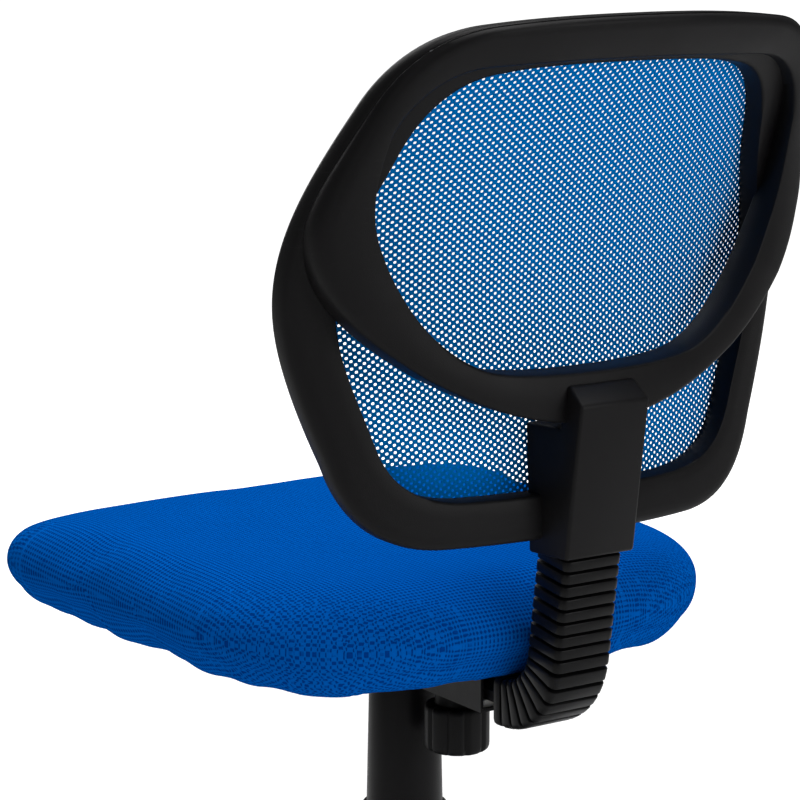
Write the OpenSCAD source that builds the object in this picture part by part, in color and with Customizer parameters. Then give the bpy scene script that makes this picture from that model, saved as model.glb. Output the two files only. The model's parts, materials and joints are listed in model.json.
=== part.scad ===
// Swivel office chair with a mesh back.
// Origin: on the floor under the gas spring's axis. +Z up, the sitter faces -Y, +X is the sitter's left.

/* [Seat] */
// Height of the cushion's top with the gas spring fully down
seat_h = 430; // [415:1:470]
// Width of the cushion at its front
seat_w = 456; // [380:1:548]
// Depth of the cushion, front to back
seat_d = 445; // [371:1:534]
// Thickness of the cushion with its board
seat_t = 71; // [60:1:86]
// How far the cushion narrows from front to back
seat_taper = 26; // [0:1:50]
// How far the rear edge of the cushion lies behind the gas spring's axis
seat_rear = 184; // [165:1:186]
// Corner radius at the front, in plan
seat_front_r = 62; // [45:1:90]
// Corner radius at the rear, in plan
seat_rear_r = 150; // [80:1:170]
// Radius of the rolled edge
edge_r = 33; // [22:1:34]
// How far the front edge drops
front_drop = 9; // [0:1:15]
// Thickness of the seat fabric
cover_t = 1.5; // [1:0.1:2.5]
// Thickness of the plywood board
board_t = 12; // [9:1:15]
// How far the fabric is turned under the board
cover_lip = 24; // [15:1:30]

/* [Seat mechanism] */
// Width of the fixing flange
flange_w = 190; // [160:1:230]
// Length of the fixing flange
flange_l = 176; // [160:1:190]
// Sheet thickness
sheet_t = 2.5; // [2:0.1:3]
// Outside width of the channel under the flange
channel_w = 54; // [50:1:64]
// Depth of the channel below the board
channel_h = 33; // [33:1:38]
// Distance between the seat bolts, both ways
bolt_pitch = 148; // [130:1:160]
// Diameter of the seat bolts
bolt_d = 6; // [5:0.5:8]
// Radius of the lever's swing pin axis from the gas spring's axis
lever_reach = 37; // [35:1:40]
// Length of the lever outside its pin
lever_len = 168; // [140:1:185]
// Diameter of the lever rod
lever_d = 8; // [6:0.5:9]

/* [Gas spring] */
// Outer diameter of the fixed tube
tube_d = 50; // [45:1:50]
// Diameter of the moving cylinder
cylinder_d = 28; // [26:0.5:30]
// Diameter of the piston rod
rod_d = 10; // [8:0.5:12]
// Stroke of the gas spring
lift = 100; // [60:5:100]

/* [Column covers] */
// Outer diameter of the upper section at its top
upper_top_d = 55; // [55:0.5:56]
// Outer diameter of the upper section at its bottom
upper_bottom_d = 62.5; // [62:0.5:63]
// Wall of each section
cover_wall = 1.6; // [1.2:0.1:1.6]

/* [Back] */
// Greatest width of the back
back_w = 432; // [360:1:518]
// Height of the lowest edge of the back
back_bottom = 472; // [460:1:480]
// Height of the top edge of the back
back_top = 842; // [800:1:900]
// Height at which the back is furthest forward
lumbar_z = 612; // [580:1:640]
// Distance of the mesh behind the gas spring's axis at that height
lumbar_y = 196; // [194:1:200]
// How strongly the upper back leans away, in mm over the first 100 mm
upper_lean = 15; // [5:1:20]
// How strongly the lower back leans away, in mm over the first 100 mm
lower_lean = 2.5; // [0:0.5:4]
// Radius of the back in plan
back_r = 564; // [450:1:900]
// Depth of the front ring
ring_depth = 20; // [16:1:20]
// Width of the front ring's sides
ring_w = 36; // [28:1:40]
// Depth of the rear loop behind the mesh at the lumbar rib
rib_depth = 46; // [40:1:48]
// Depth of the rear loop behind the mesh at the top
top_depth = 30; // [26:1:40]
// Thickness of the mesh
mesh_t = 1.2; // [0.8:0.1:2]

/* [Spine and back bar] */
// Width of the spine
spine_w = 60; // [54:1:66]
// Top of the spine's rear face
spine_top = 574; // [568:1:580]
// Bottom of the spine
spine_bottom = 462; // [456:1:464]
// Width of the steel bar
bar_w = 38; // [32:1:40]
// Thickness of the steel bar
bar_t = 8; // [6:0.5:8]
// Bend radius of the bar at its centre line
bar_bend_r = 50; // [50:1:56]
// Lean of the bar's upright leg, degrees
bar_lean = 8; // [6:0.5:9]
// How far the back slides out
slide = 30; // [10:1:30]
// Outer width of the bellows
bellows_w = 50; // [48:1:56]
// Outer depth of the bellows
bellows_d = 37; // [33:1:37]
// Distance from fold to fold
fold_pitch = 9.1; // [8:0.1:12]
// Depth of each fold
fold_depth = 3; // [2:0.1:4]

/* [Knob] */
// Diameter of the hand knob
knob_d = 50; // [40:1:54]
// Height of its grip
knob_h = 37; // [30:1:48]
// Distance of the knob behind the gas spring's axis
knob_y = 71; // [67:1:72]
// Diameter of its stud
stud_d = 10; // [8:1:12]

/* [Base and casters] */
// Radius from the axis to each caster's stem
base_r = 268; // [220:1:320]
// Height of the hub's top
hub_top = 112; // [108:1:112]
// Outer diameter of the hub
hub_d = 84; // [82:1:92]
// Width of a leg at the hub
leg_w = 44; // [38:1:46]
// Width of a leg at its tip
leg_tip_w = 32; // [30:1:38]
// Wall of the legs
leg_wall = 3.5; // [3:0.5:5]
// Diameter of the caster wheels
wheel_d = 50; // [44:1:56]
// Width of each wheel
wheel_w = 17; // [14:1:20]
// Distance of the wheel axle behind the caster's stem
trail = 18; // [16:1:20]
// Diameter of the caster stems
stem_d = 11; // [10:1:11]
// Diameter of the wheel axles
axle_d = 8; // [6:0.5:9]

/* [Hidden] */
CASTERS = 5;
CASTER_PARTS = ["stem", "hood", "axle", "wheel_left", "wheel_right"];

black = "#1b1b1d";
mesh_blue = "#1663b8";
seat_blue = "#0b4fae";
steel = "#9a9ca0";
dark_steel = "#2a2b2e";
zinc = "#b9bcc0";
nylon_white = "#d8d8d2";
foam_cream = "#e6d9a8";
ply = "#c79a63";

$fn = 48;
tiny = 0.01;       // makes cuts pass through faces
fit = 0.05;        // radial gap of a running or press-in fit
gap = 0.3;         // gap between pieces that pass each other
slab_fn = 32;      // segments of the cushion's rolled corners
curve_n = 4;       // points on each stretch of an outline

seat_bottom = seat_h - seat_t;
board_top = seat_bottom + board_t;
channel_bottom = seat_bottom - channel_h;

// ---------- gas spring ----------
socket_d = 40;
socket_bottom = channel_bottom - 4;
tube_wall = 2;
tube_bottom = 48;
tube_top = socket_bottom - 14;
tube_floor = 56;
tube_floor_t = 5;
guide_len = 80;
guide_lip = 2;
cylinder_top = seat_bottom - 12;
cylinder_bottom = 78;
cylinder_wall = 3;
taper = 0.75;      // radius lost over the cylinder's seated end
button_d = 7;
button_top = cylinder_top + 4;
button_len = 19;
piston_z = 190;
piston_h = 8;
washer_t = 2;
ball_d = 3;
bearing_d = 30;
bearing_z = tube_floor + tube_floor_t;
ball_ring_z = bearing_z + washer_t;
upper_washer_z = ball_ring_z + ball_d;
shoulder_z = upper_washer_z + washer_t;
shoulder_h = 3;

// ---------- column covers ----------
upper_top = channel_bottom;
upper_len = 176;
upper_bottom = upper_top - upper_len;
middle_bottom = 140;
middle_top = upper_bottom + lift / 2 + 14;
middle_top_in = upper_top_d + (upper_bottom_d - upper_top_d) * (upper_top + lift / 2 - middle_top)
    / upper_len + 2 * gap;
middle_in = max(middle_top_in, upper_bottom_d + 2 * gap);
middle_d = middle_in + 2 * cover_wall;
middle_flare = 1;
lower_in = middle_d + middle_flare + 2 * gap;
lower_d = lower_in + 2 * cover_wall;
lower_top = middle_bottom + lift / 2 + 14;
flange_t = 2;

// ---------- seat mechanism ----------
lever_pin_d = 5;
lever_hub_d = 12;
lever_z = seat_bottom - 10;
lever_drop = 16;
tongue_t = 3.5;
tongue_w = 12;
tongue_z = button_top + 0.5;
lug_t = 3;
lug_gap = 13;
grip_l = 62;
grip_w = 24;
grip_t = 9;
bar_top = seat_bottom - 17;
bar_mid = bar_top - bar_t / 2;
pad_t = bar_top - bar_t - 0.2 - (channel_bottom + sheet_t);
nut_t = 7;
stud_hole = stud_d + 1;
bar_front = knob_y - slide - stud_d / 2 - 8;
channel_front = -34;
channel_rear = 139;
flange_front = -62;
cut_w = channel_w - 2 * sheet_t;

// ---------- back bar ----------
leg_y = 220;        // bar's centre line at the bottom of the spine
bend_end_z = bar_mid + bar_bend_r * (1 - sin(bar_lean));
bend_end_y = leg_y - tan(bar_lean) * (spine_bottom - bend_end_z);
bend_y = bend_end_y - bar_bend_r * cos(bar_lean);
bend_z = bar_mid + bar_bend_r;
bar_leg_top = spine_top - 29;
bellows_front = bend_y - 9;
bellows_hole = 0.6;
spine_wall = 4;

// ---------- casters ----------
wheel_r = wheel_d / 2;
wheel_gap = 9;
hood_t = 2.2;
hood_gap = 1.2;
web_t = wheel_gap - 1.4;
stem_top = 92;
stem_boss_bottom = 58;
boss_d = 24;
leg_tip_top = 84;
leg_root_top = hub_top - 6;
leg_root_bottom = 60;
hub_bottom = 50;

// ================= curves =================
function bezier(p, t) = pow(1 - t, 3) * p[0] + 3 * t * pow(1 - t, 2) * p[1]
    + 3 * t * t * (1 - t) * p[2] + pow(t, 3) * p[3];
function chain(stretches, n) = [for (s = stretches) for (i = [0:n - 1]) bezier(s, i / n)];
function last_point(stretches) = stretches[len(stretches) - 1][3];
function whole(stretches, n) = let (h = concat(chain(stretches, n), [last_point(stretches)]))
    concat(h, [for (i = [len(h) - 2:-1:1]) [-h[i][0], h[i][1]]]);

// Right half of each outline, seen from the front, from the top centre down to the bottom centre.
half_w = back_w / 2;
function outer_edge(inset = 0) = let (w = half_w - inset, top = back_top - inset,
        bot = back_bottom + inset) [
    [[0, top], [40, top], [80, top - 1], [w * 0.54, top - 5]],
    [[w * 0.54, top - 5], [w * 0.70, top - 8], [w * 0.80, top - 26], [w * 0.85, top - 57]],
    [[w * 0.85, top - 57], [w * 0.92, top - 100], [w, top - 140 + 0.6 * inset], [w, top - 187 + inset]],
    [[w, top - 187 + inset], [w, top - 227 + inset], [w * 0.93, bot + 100 - 0.45 * inset],
     [w * 0.86, bot + 63 - 0.42 * inset]],
    [[w * 0.86, bot + 63 - 0.42 * inset], [w * 0.81, bot + 28 - 0.25 * inset], [w * 0.72, bot + 4],
     [w * 0.51, bot + 1]],
    [[w * 0.51, bot + 1], [w * 0.35, bot], [w * 0.15, bot], [0, bot]]
];
rib_top = back_top - 30;
rib_in_w = half_w - ring_w - 2;
rib_in_z = lumbar_z - 18;
rib_out_z = rib_in_z - 38;
function rib_inner() = [
    [[0, rib_top], [40, rib_top], [80, rib_top - 1], [rib_in_w * 0.66, rib_top - 3]],
    [[rib_in_w * 0.66, rib_top - 3], [rib_in_w * 0.82, rib_top - 5], [rib_in_w * 0.93, rib_top - 24],
     [rib_in_w * 0.97, rib_top - 48]],
    [[rib_in_w * 0.97, rib_top - 48], [rib_in_w, rib_top - 80], [rib_in_w, rib_top - 105],
     [rib_in_w * 0.94, rib_top - 128]],
    [[rib_in_w * 0.94, rib_top - 128], [rib_in_w * 0.86, rib_top - 165], [rib_in_w * 0.68, rib_in_z + 14],
     [rib_in_w * 0.47, rib_in_z + 5]],
    [[rib_in_w * 0.47, rib_in_z + 5], [rib_in_w * 0.32, rib_in_z], [rib_in_w * 0.15, rib_in_z],
     [0, rib_in_z]]
];
function rib_outer() = concat([for (i = [0:1]) outer_edge()[i]], [
    [outer_edge()[2][0], outer_edge()[2][1], [half_w * 0.985, back_top - 125],
     [half_w * 0.972, back_top - 150]],
    [[half_w * 0.972, back_top - 150], [half_w * 0.955, back_top - 190], [half_w * 0.82, back_top - 216],
     [half_w * 0.615, rib_out_z + 41]],
    [[half_w * 0.615, rib_out_z + 41], [half_w * 0.45, rib_out_z + 22], [half_w * 0.30, rib_out_z + 4],
     [0, rib_out_z]]
]);

module outline(stretches) { polygon(whole(stretches, curve_n)); }

// Distance of the mesh behind the gas spring's axis, on the centre line, at height z
function back_y(z) = lumbar_y
    + (z > lumbar_z ? upper_lean : lower_lean) * pow((z - lumbar_z) / 100, 2);
function rib_back(z) = z < lumbar_z + 38 ? rib_depth
    : rib_depth - (rib_depth - top_depth) * min(1, (z - lumbar_z - 38) / 170);
band_zs = concat([back_bottom - 20, back_bottom + 0.47 * (lumbar_z - back_bottom)],
    [for (i = [0:8]) lumbar_z + i * (back_top + 20 - lumbar_z) / 8]);

// A band of the back's double curve, from `front` to `rear` behind the mesh (to the rib's rear if none)
module band(front, rear = undef) {
    front_edge = [for (z = band_zs) [back_r + back_y(z) - lumbar_y + front, z]];
    rear_edge = [for (i = [len(band_zs) - 1:-1:0]) let (z = band_zs[i])
        [back_r + back_y(z) - lumbar_y + (is_undef(rear) ? rib_back(z) : rear), z]];
    sweep_deg = 2 * asin(min(0.9, (half_w + 30) / back_r));
    translate([0, lumbar_y - back_r, 0])
        rotate([0, 0, 90 - sweep_deg / 2])
            rotate_extrude(angle = sweep_deg, $fn = 96) polygon(concat(front_edge, rear_edge));
}
// A prism through the back with the outline given as a child, seen from the front
module through_back() {
    translate([0, lumbar_y + 160, 0]) rotate([90, 0, 0]) linear_extrude(height = 320) children();
}
module back_layer(front, rear = undef) {
    intersection() {
        band(front, rear);
        through_back() children();
    }
}

// ================= base and column =================
leg_start = hub_d / 2 - 12;
module leg_side() {
    polygon([[leg_start, leg_root_bottom], [base_r + 17, leg_root_bottom],
             [base_r + 17, leg_tip_top - 8], [base_r + 8, leg_tip_top], [base_r * 0.45, leg_root_top - 5],
             [leg_start, leg_root_top]]);
}
module leg_plan(w0, w1, end) {
    polygon([[0, -w0 / 2], [end, -w1 / 2], [end, w1 / 2], [0, w0 / 2]]);
}
module leg() {
    difference() {
        intersection() {
            translate([0, leg_w / 2, 0]) rotate([90, 0, 0]) linear_extrude(height = leg_w) leg_side();
            linear_extrude(height = hub_top) leg_plan(leg_w, leg_tip_w, base_r + 17);
        }
        intersection() {
            translate([0, leg_w, -leg_wall]) rotate([90, 0, 0]) linear_extrude(height = 2 * leg_w)
                leg_side();
            translate([hub_d / 2 + 4, 0, 0]) linear_extrude(height = hub_top)
                leg_plan(leg_w - 3 * leg_wall, leg_tip_w - 2 * leg_wall, base_r - 20 - hub_d / 2);
        }
    }
    leg_rib(0.38);
    leg_rib(0.62);
}
module leg_rib(share) {
    x = base_r * share;
    w = leg_w - (leg_w - leg_tip_w) * share - 2;
    translate([x, -w / 2, leg_root_bottom + 4])
        cube([leg_wall, w, leg_tip_top - leg_root_bottom - 8]);
}
module star_base() {
    color(black) difference() {
        union() {
            translate([0, 0, hub_bottom]) cylinder(h = hub_top - hub_bottom, d = hub_d);
            for (i = [0:CASTERS - 1]) rotate(i * 360 / CASTERS - 90) leg();
            for (i = [0:CASTERS - 1]) rotate(i * 360 / CASTERS - 90) translate([base_r, 0, 0])
                translate([0, 0, stem_boss_bottom])
                    cylinder(h = leg_tip_top - stem_boss_bottom + 4, d = boss_d);
        }
        translate([0, 0, hub_bottom - 1]) cylinder(h = hub_top, d = tube_d + 2 * fit);
        for (i = [0:CASTERS - 1]) rotate(i * 360 / CASTERS - 90) translate([base_r, 0, 0])
            translate([0, 0, stem_boss_bottom - 1])
                cylinder(h = leg_tip_top - stem_boss_bottom + 2, d = stem_d + 2 * fit);
    }
}
module column_tube() {
    color(dark_steel) difference() {
        translate([0, 0, tube_bottom]) cylinder(h = tube_top - tube_bottom, d = tube_d);
        translate([0, 0, bearing_z])
            cylinder(h = tube_top - bearing_z + 1, d = tube_d - 2 * tube_wall);
        translate([0, 0, tube_bottom - 1])
            cylinder(h = tube_floor - tube_bottom + 1, d = tube_d - 2 * tube_wall);
        translate([0, 0, tube_bottom]) cylinder(h = 20, d = rod_d + 2);
    }
}
module column_guide() {
    color(nylon_white) difference() {
        union() {
            translate([0, 0, tube_top - guide_len])
                cylinder(h = guide_len, d = tube_d - 2 * tube_wall - 2 * fit);
            translate([0, 0, tube_top]) cylinder(h = guide_lip, d = tube_d);
        }
        translate([0, 0, tube_top - guide_len - 1])
            cylinder(h = guide_len + guide_lip + 2, d = cylinder_d + 2 * fit);
    }
}
module ring(z, h, outer, inner) {
    translate([0, 0, z]) difference() {
        cylinder(h = h, d = outer);
        translate([0, 0, -1]) cylinder(h = h + 2, d = inner);
    }
}
module thrust_bearing() {
    balls = 8;
    color(steel) {
        ring(bearing_z, washer_t, bearing_d, rod_d + 1);
        for (i = [0:balls - 1]) rotate(i * 360 / balls)
            translate([(bearing_d + rod_d) / 4 + 1, 0, ball_ring_z + ball_d / 2])
                sphere(d = ball_d, $fn = 24);
    }
}
module rod_clip() {
    color(zinc) ring(tube_floor - 1.6, 1.5, 22, rod_d + 0.2);
}
module piston_rod() {
    color(steel) {
        translate([0, 0, tube_floor - 5])
            cylinder(h = piston_z - tube_floor + 5, d = rod_d);
        translate([0, 0, upper_washer_z + 0.05])
            cylinder(h = washer_t + shoulder_h, d = rod_d + 14);
        translate([0, 0, piston_z]) cylinder(h = piston_h, d = cylinder_d - 2 * cylinder_wall - 0.1);
    }
}
module gas_cylinder() {
    cone_h = cylinder_top - socket_bottom;
    color("#35363a") difference() {
        union() {
            translate([0, 0, cylinder_bottom])
                cylinder(h = socket_bottom - cylinder_bottom, d = cylinder_d);
            translate([0, 0, socket_bottom])
                cylinder(h = cone_h, r1 = cylinder_d / 2, r2 = cylinder_d / 2 - taper);
        }
        translate([0, 0, cylinder_bottom + 5])
            cylinder(h = socket_bottom - cylinder_bottom - 12, d = cylinder_d - 2 * cylinder_wall);
        translate([0, 0, cylinder_bottom - 1]) cylinder(h = 10, d = rod_d + 2 * fit);
        translate([0, 0, button_top - button_len - 4]) cylinder(h = 60, d = button_d + 2 * fit);
    }
}
module valve_button() {
    color(zinc) translate([0, 0, button_top - button_len]) cylinder(h = button_len, d = button_d);
}
// One section of the telescopic cover; d0 at the bottom, d1 at the top
module cover_section(z0, z1, d0, d1) {
    difference() {
        translate([0, 0, z0]) cylinder(h = z1 - z0, d1 = d0, d2 = d1);
        translate([0, 0, z0 - tiny])
            cylinder(h = z1 - z0 + 2 * tiny, d1 = d0 - 2 * cover_wall, d2 = d1 - 2 * cover_wall);
    }
}
module lower_column_cover() {
    color(black) cover_section(hub_top, lower_top, lower_d + 2, lower_d);
}
module middle_column_cover() {
    color(black) cover_section(middle_bottom, middle_top, middle_d + middle_flare, middle_d);
}
module upper_column_cover() {
    color(black) {
        cover_section(upper_bottom, upper_top, upper_bottom_d, upper_top_d);
        ring(upper_top - flange_t, flange_t, upper_top_d - cover_wall, socket_d + 1);
    }
}

// ================= seat =================
module slab_corner(r, inset, z0, z1) {
    e = max(1, min(edge_r - inset, (z1 - z0) / 2 - 0.5));
    rr = max(e + 1, r - inset);
    translate([0, 0, z0]) rotate_extrude($fn = slab_fn) hull() {
        square([rr - e, z1 - z0]);
        translate([rr - e, e]) intersection() {
            circle(r = e, $fn = slab_fn);
            translate([0, -e]) square([e, 2 * e]);
        }
        translate([rr - e, z1 - z0 - e]) intersection() {
            circle(r = e, $fn = slab_fn);
            translate([0, -e]) square([e, 2 * e]);
        }
    }
}
// The cushion's slab, shrunk by inset on its sides and its top
module slab(inset, z0, z1) {
    front_y = seat_rear - seat_d;
    knee_y = front_y + seat_front_r + 60;
    rear_x = (seat_w - seat_taper) / 2;
    knee_x = seat_w / 2 - seat_taper * 0.3;
    hull() for (s = [-1, 1]) {
        translate([s * (seat_w / 2 - seat_front_r), front_y + seat_front_r, 0])
            slab_corner(seat_front_r, inset, z0, z1 - front_drop);
        translate([s * (knee_x - seat_front_r), knee_y, 0]) slab_corner(seat_front_r, inset, z0, z1);
        translate([s * (rear_x - seat_rear_r), seat_rear - seat_rear_r, 0])
            slab_corner(seat_rear_r, inset, z0, z1);
    }
}
// Flat outline of the cushion, shrunk by inset
module seat_plan(inset) {
    hull() for (s = [-1, 1]) {
        translate([s * (seat_w / 2 - seat_front_r), seat_rear - seat_d + seat_front_r])
            circle(r = seat_front_r - inset);
        translate([s * ((seat_w - seat_taper) / 2 - seat_rear_r), seat_rear - seat_rear_r])
            circle(r = seat_rear_r - inset);
    }
}
board_inset = edge_r;
module seat_foam() {
    color(foam_cream) difference() {
        slab(cover_t + 0.2, seat_bottom + 0.2, seat_h - cover_t - 0.2);
        translate([0, 0, seat_bottom - 1]) linear_extrude(height = board_t + 1)
            seat_plan(board_inset - 0.3);
        at_bolts() translate([0, 0, board_top - 1]) cylinder(h = 2.6, d = 20);
    }
}
module seat_cover() {
    color(seat_blue) difference() {
        slab(0, seat_bottom - 1.4, seat_h);
        slab(cover_t, seat_bottom, seat_h - cover_t);
        translate([0, 0, seat_bottom - 5]) linear_extrude(height = 6)
            seat_plan(board_inset + cover_lip);
    }
}
module seat_board() {
    color(ply) difference() {
        translate([0, 0, seat_bottom + 0.1]) linear_extrude(height = board_t - 0.2)
            seat_plan(board_inset);
        at_bolts() translate([0, 0, seat_bottom - 1]) cylinder(h = board_t + 2, d = bolt_d + 2.4);
    }
}
module seat_underlay() {
    color("#141414") difference() {
        translate([0, 0, seat_bottom - 2.5]) linear_extrude(height = 1) seat_plan(board_inset + 6);
        translate([-flange_w / 2 - 4, flange_front - 4, seat_bottom - 10])
            cube([flange_w + 8, flange_l + 8, 20]);
    }
}
bolt_mid_y = flange_front + flange_l / 2;
module at_bolts() {
    for (x = [-1, 1]) for (y = [-1, 1])
        translate([x * bolt_pitch / 2, bolt_mid_y + y * bolt_pitch / 2, 0]) children();
}
module t_nuts() {
    color(zinc) at_bolts() difference() {
        union() {
            translate([0, 0, board_top - 9]) cylinder(h = 9, d = bolt_d + 2.2);
            translate([0, 0, board_top]) cylinder(h = 1.2, d = 18);
        }
        translate([0, 0, board_top - 10]) cylinder(h = 12, d = bolt_d + 2 * fit);
    }
}
module seat_bolts() {
    head_z = seat_bottom - sheet_t;
    color(zinc) at_bolts() {
        translate([0, 0, head_z - 4]) cylinder(h = 4, d = bolt_d * 2);
        translate([0, 0, head_z - 0.5]) cylinder(h = board_top - head_z - 1.5, d = bolt_d);
    }
}
module seat_mechanism() {
    color(black) difference() {
        union() {
            translate([-flange_w / 2, flange_front, seat_bottom - sheet_t])
                cube([flange_w, flange_l, sheet_t]);
            translate([-channel_w / 2, channel_front, channel_bottom])
                cube([channel_w, channel_rear - channel_front, channel_h]);
            translate([0, 0, socket_bottom]) cylinder(h = 10, d = socket_d);
            for (s = [-1, 1])
                translate([-lever_reach - 9, s * (lug_gap + lug_t) / 2 - lug_t / 2, lever_z - 8])
                    cube([lever_reach + 9 - channel_w / 2 + 1, lug_t, 18 - sheet_t]);
        }
        difference() {
            translate([-cut_w / 2, channel_front + sheet_t, channel_bottom + sheet_t])
                cube([cut_w, channel_rear - channel_front, channel_h]);
            translate([0, 0, socket_bottom]) cylinder(h = cylinder_top - socket_bottom, d = socket_d);
        }
        translate([0, 0, socket_bottom - 1]) cylinder(h = 60, d = cylinder_d - 2 * taper + 2 * fit);
        translate([0, 0, socket_bottom - tiny])
            cylinder(h = cylinder_top - socket_bottom, r1 = cylinder_d / 2 + fit,
                     r2 = cylinder_d / 2 - taper + fit);
        translate([-channel_w / 2 - 1, -tongue_w / 2 - 1, lever_z - 6]) cube([sheet_t + 2, tongue_w + 2, 13]);
        translate([-lever_reach, 30, lever_z]) rotate([90, 0, 0]) cylinder(h = 60, d = lever_pin_d + 2 * fit);
        // behind the flange the channel's walls stay below the fabric that is turned under the board
        translate([-channel_w / 2 - 1, flange_front + flange_l, seat_bottom - sheet_t - 1])
            cube([channel_w + 2, channel_rear, sheet_t + 2]);
        translate([0, knob_y, channel_bottom - 1]) cylinder(h = 10, d = stud_hole);
        at_bolts() translate([0, 0, seat_bottom - 10]) cylinder(h = 20, d = bolt_d + 0.5);
    }
}
module glide_pad() {
    pad_w = cut_w - 0.4;
    pad_y = bar_front - 4;
    color(nylon_white) difference() {
        translate([-pad_w / 2, pad_y, channel_bottom + sheet_t])
            cube([pad_w, channel_rear - 3 - pad_y, pad_t]);
        translate([0, knob_y, channel_bottom]) cylinder(h = 20, d = stud_hole);
    }
}
module nut_plate() {
    plate_w = cut_w - 0.4;
    color(zinc) difference() {
        translate([-plate_w / 2, knob_y - 15, bar_top + 0.3]) cube([plate_w, 30, nut_t]);
        translate([0, knob_y, bar_top - 1]) cylinder(h = 20, d = stud_d + 2 * fit);
    }
}
lever_slope = atan(lever_drop / lever_len);
module height_lever() {
    color(steel) difference() {
        union() {
            translate([-lever_reach, (lug_gap - 1) / 2, lever_z]) rotate([90, 0, 0])
                cylinder(h = lug_gap - 1, d = lever_hub_d);
            translate([-lever_reach, -tongue_w / 2, tongue_z])
                cube([lever_reach + 5, tongue_w, tongue_t]);
            translate([-lever_reach, 0, lever_z]) rotate([0, -90 - lever_slope, 0])
                cylinder(h = lever_len, d = lever_d);
        }
        translate([-lever_reach, 20, lever_z]) rotate([90, 0, 0])
            cylinder(h = 40, d = lever_pin_d + 2 * fit);
    }
}
module lever_grip() {
    color(black) translate([-lever_reach, 0, lever_z]) rotate([0, -90 - lever_slope, 0])
        translate([0, 0, lever_len - grip_l + 6]) difference() {
            union() {
                translate([-grip_t / 2, -grip_w / 2, 0]) cube([grip_t, grip_w, grip_l - 8]);
                translate([-grip_t / 2, 0, grip_l - 8]) rotate([0, 90, 0])
                    cylinder(h = grip_t, d = grip_w);
                translate([0, 0, -10]) cylinder(h = 14, d = lever_d + 4);
            }
            translate([0, 0, -11]) cylinder(h = grip_l - 6 + 11, d = lever_d + 2 * fit);
        }
}
module lever_pin() {
    pin_l = lug_gap + 2 * lug_t + 4;
    color(zinc) translate([-lever_reach, pin_l / 2, lever_z]) rotate([90, 0, 0])
        cylinder(h = pin_l, d = lever_pin_d);
}

// ================= back bar, bellows and knob =================
// Stands a child made along +Z upon the bar's upright leg, at the bottom of the spine
module on_leg() {
    translate([0, leg_y, spine_bottom]) rotate([-bar_lean, 0, 0]) children();
}
// Puts a child made along +Z at an angle round the bar's bend, 0 at its front end
module on_bend(angle) {
    translate([0, bend_y, bend_z]) rotate([angle - 90, 0, 0]) translate([0, bar_bend_r, 0]) children();
}
module bar_section(w, t) { translate([-w / 2, -t / 2]) square([w, t]); }
bend_steps = 14;
function bend_edge(r) = [for (i = [0:bend_steps]) let (a = i * (90 - bar_lean) / bend_steps)
    [bend_y + r * sin(a), bend_z - r * cos(a)]];
function reversed(v) = [for (i = [len(v) - 1:-1:0]) v[i]];
// Side view of a strip t thick that follows the bar, from y_front to `above` past the spine's bottom
module bar_strip(w, t, y_front, above) {
    reach = leg_below + above;
    up = [reach * sin(bar_lean), reach * cos(bar_lean)];
    outside = bend_edge(bar_bend_r + t / 2);
    inside = bend_edge(bar_bend_r - t / 2);
    translate([-w / 2, 0, 0]) rotate([90, 0, 90]) linear_extrude(height = w)
        polygon(concat([[y_front, bar_mid - t / 2]], outside, [outside[bend_steps] + up],
                       [inside[bend_steps] + up], reversed(inside), [[y_front, bar_mid + t / 2]]));
}
leg_below = (spine_bottom - bend_end_z) / cos(bar_lean);
leg_above = (bar_leg_top - spine_bottom) / cos(bar_lean);
module j_bar() {
    color(dark_steel) difference() {
        bar_strip(bar_w, bar_t, bar_front, leg_above);
        for (y = [knob_y - slide, knob_y]) translate([0, y, bar_mid - bar_t])
            cylinder(h = 2 * bar_t, d = stud_hole);
        translate([-stud_hole / 2, knob_y - slide, bar_mid - bar_t])
            cube([stud_hole, slide, 2 * bar_t]);
        at_back_bolts() translate([0, 0, -bar_t]) cylinder(h = 2 * bar_t, d = bolt_d + 0.6);
    }
}
module fold_section(w, t) {
    c = 4;
    polygon([[-w / 2, -t / 2 + c], [-w / 2 + c, -t / 2], [w / 2 - c, -t / 2], [w / 2, -t / 2 + c],
             [w / 2, t / 2 - c], [w / 2 - c, t / 2], [-w / 2 + c, t / 2], [-w / 2, t / 2 - c]]);
}
leg_folds = floor(leg_below / fold_pitch);
bend_folds = floor(bar_bend_r * (90 - bar_lean) * PI / 180 / fold_pitch);
module bellows() {
    in_w = bar_w + 2 * bellows_hole;
    in_t = bar_t + 2 * bellows_hole;
    core_w = bellows_w - 2 * fold_depth;
    core_d = bellows_d - 2 * fold_depth;
    fold_h = fold_pitch * 0.62;
    color(black) difference() {
        union() {
            bar_strip(core_w, core_d, bellows_front, 0);
            translate([-bellows_w / 2, bellows_front, bar_mid - bellows_d / 2])
                cube([bellows_w, fold_h, bellows_d]);
            for (i = [0:bend_folds - 1]) on_bend((i + 0.5) * fold_pitch / bar_bend_r * 180 / PI)
                translate([0, 0, -fold_h / 2]) linear_extrude(height = fold_h)
                    fold_section(bellows_w, bellows_d);
            for (i = [0:leg_folds - 1]) on_leg() translate([0, 0, -(i + 1) * fold_pitch + 3])
                linear_extrude(height = fold_h) fold_section(bellows_w, bellows_d);
        }
        bar_strip(in_w, in_t, bellows_front - 1, 20);
        translate([-bellows_w, leg_y - 60, spine_bottom]) cube([2 * bellows_w, 120, 20]);
    }
}
knob_gap = 13;      // from the channel down to the knob's grip
knob_floor = 10;    // solid bottom of the knob, under its stud
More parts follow.
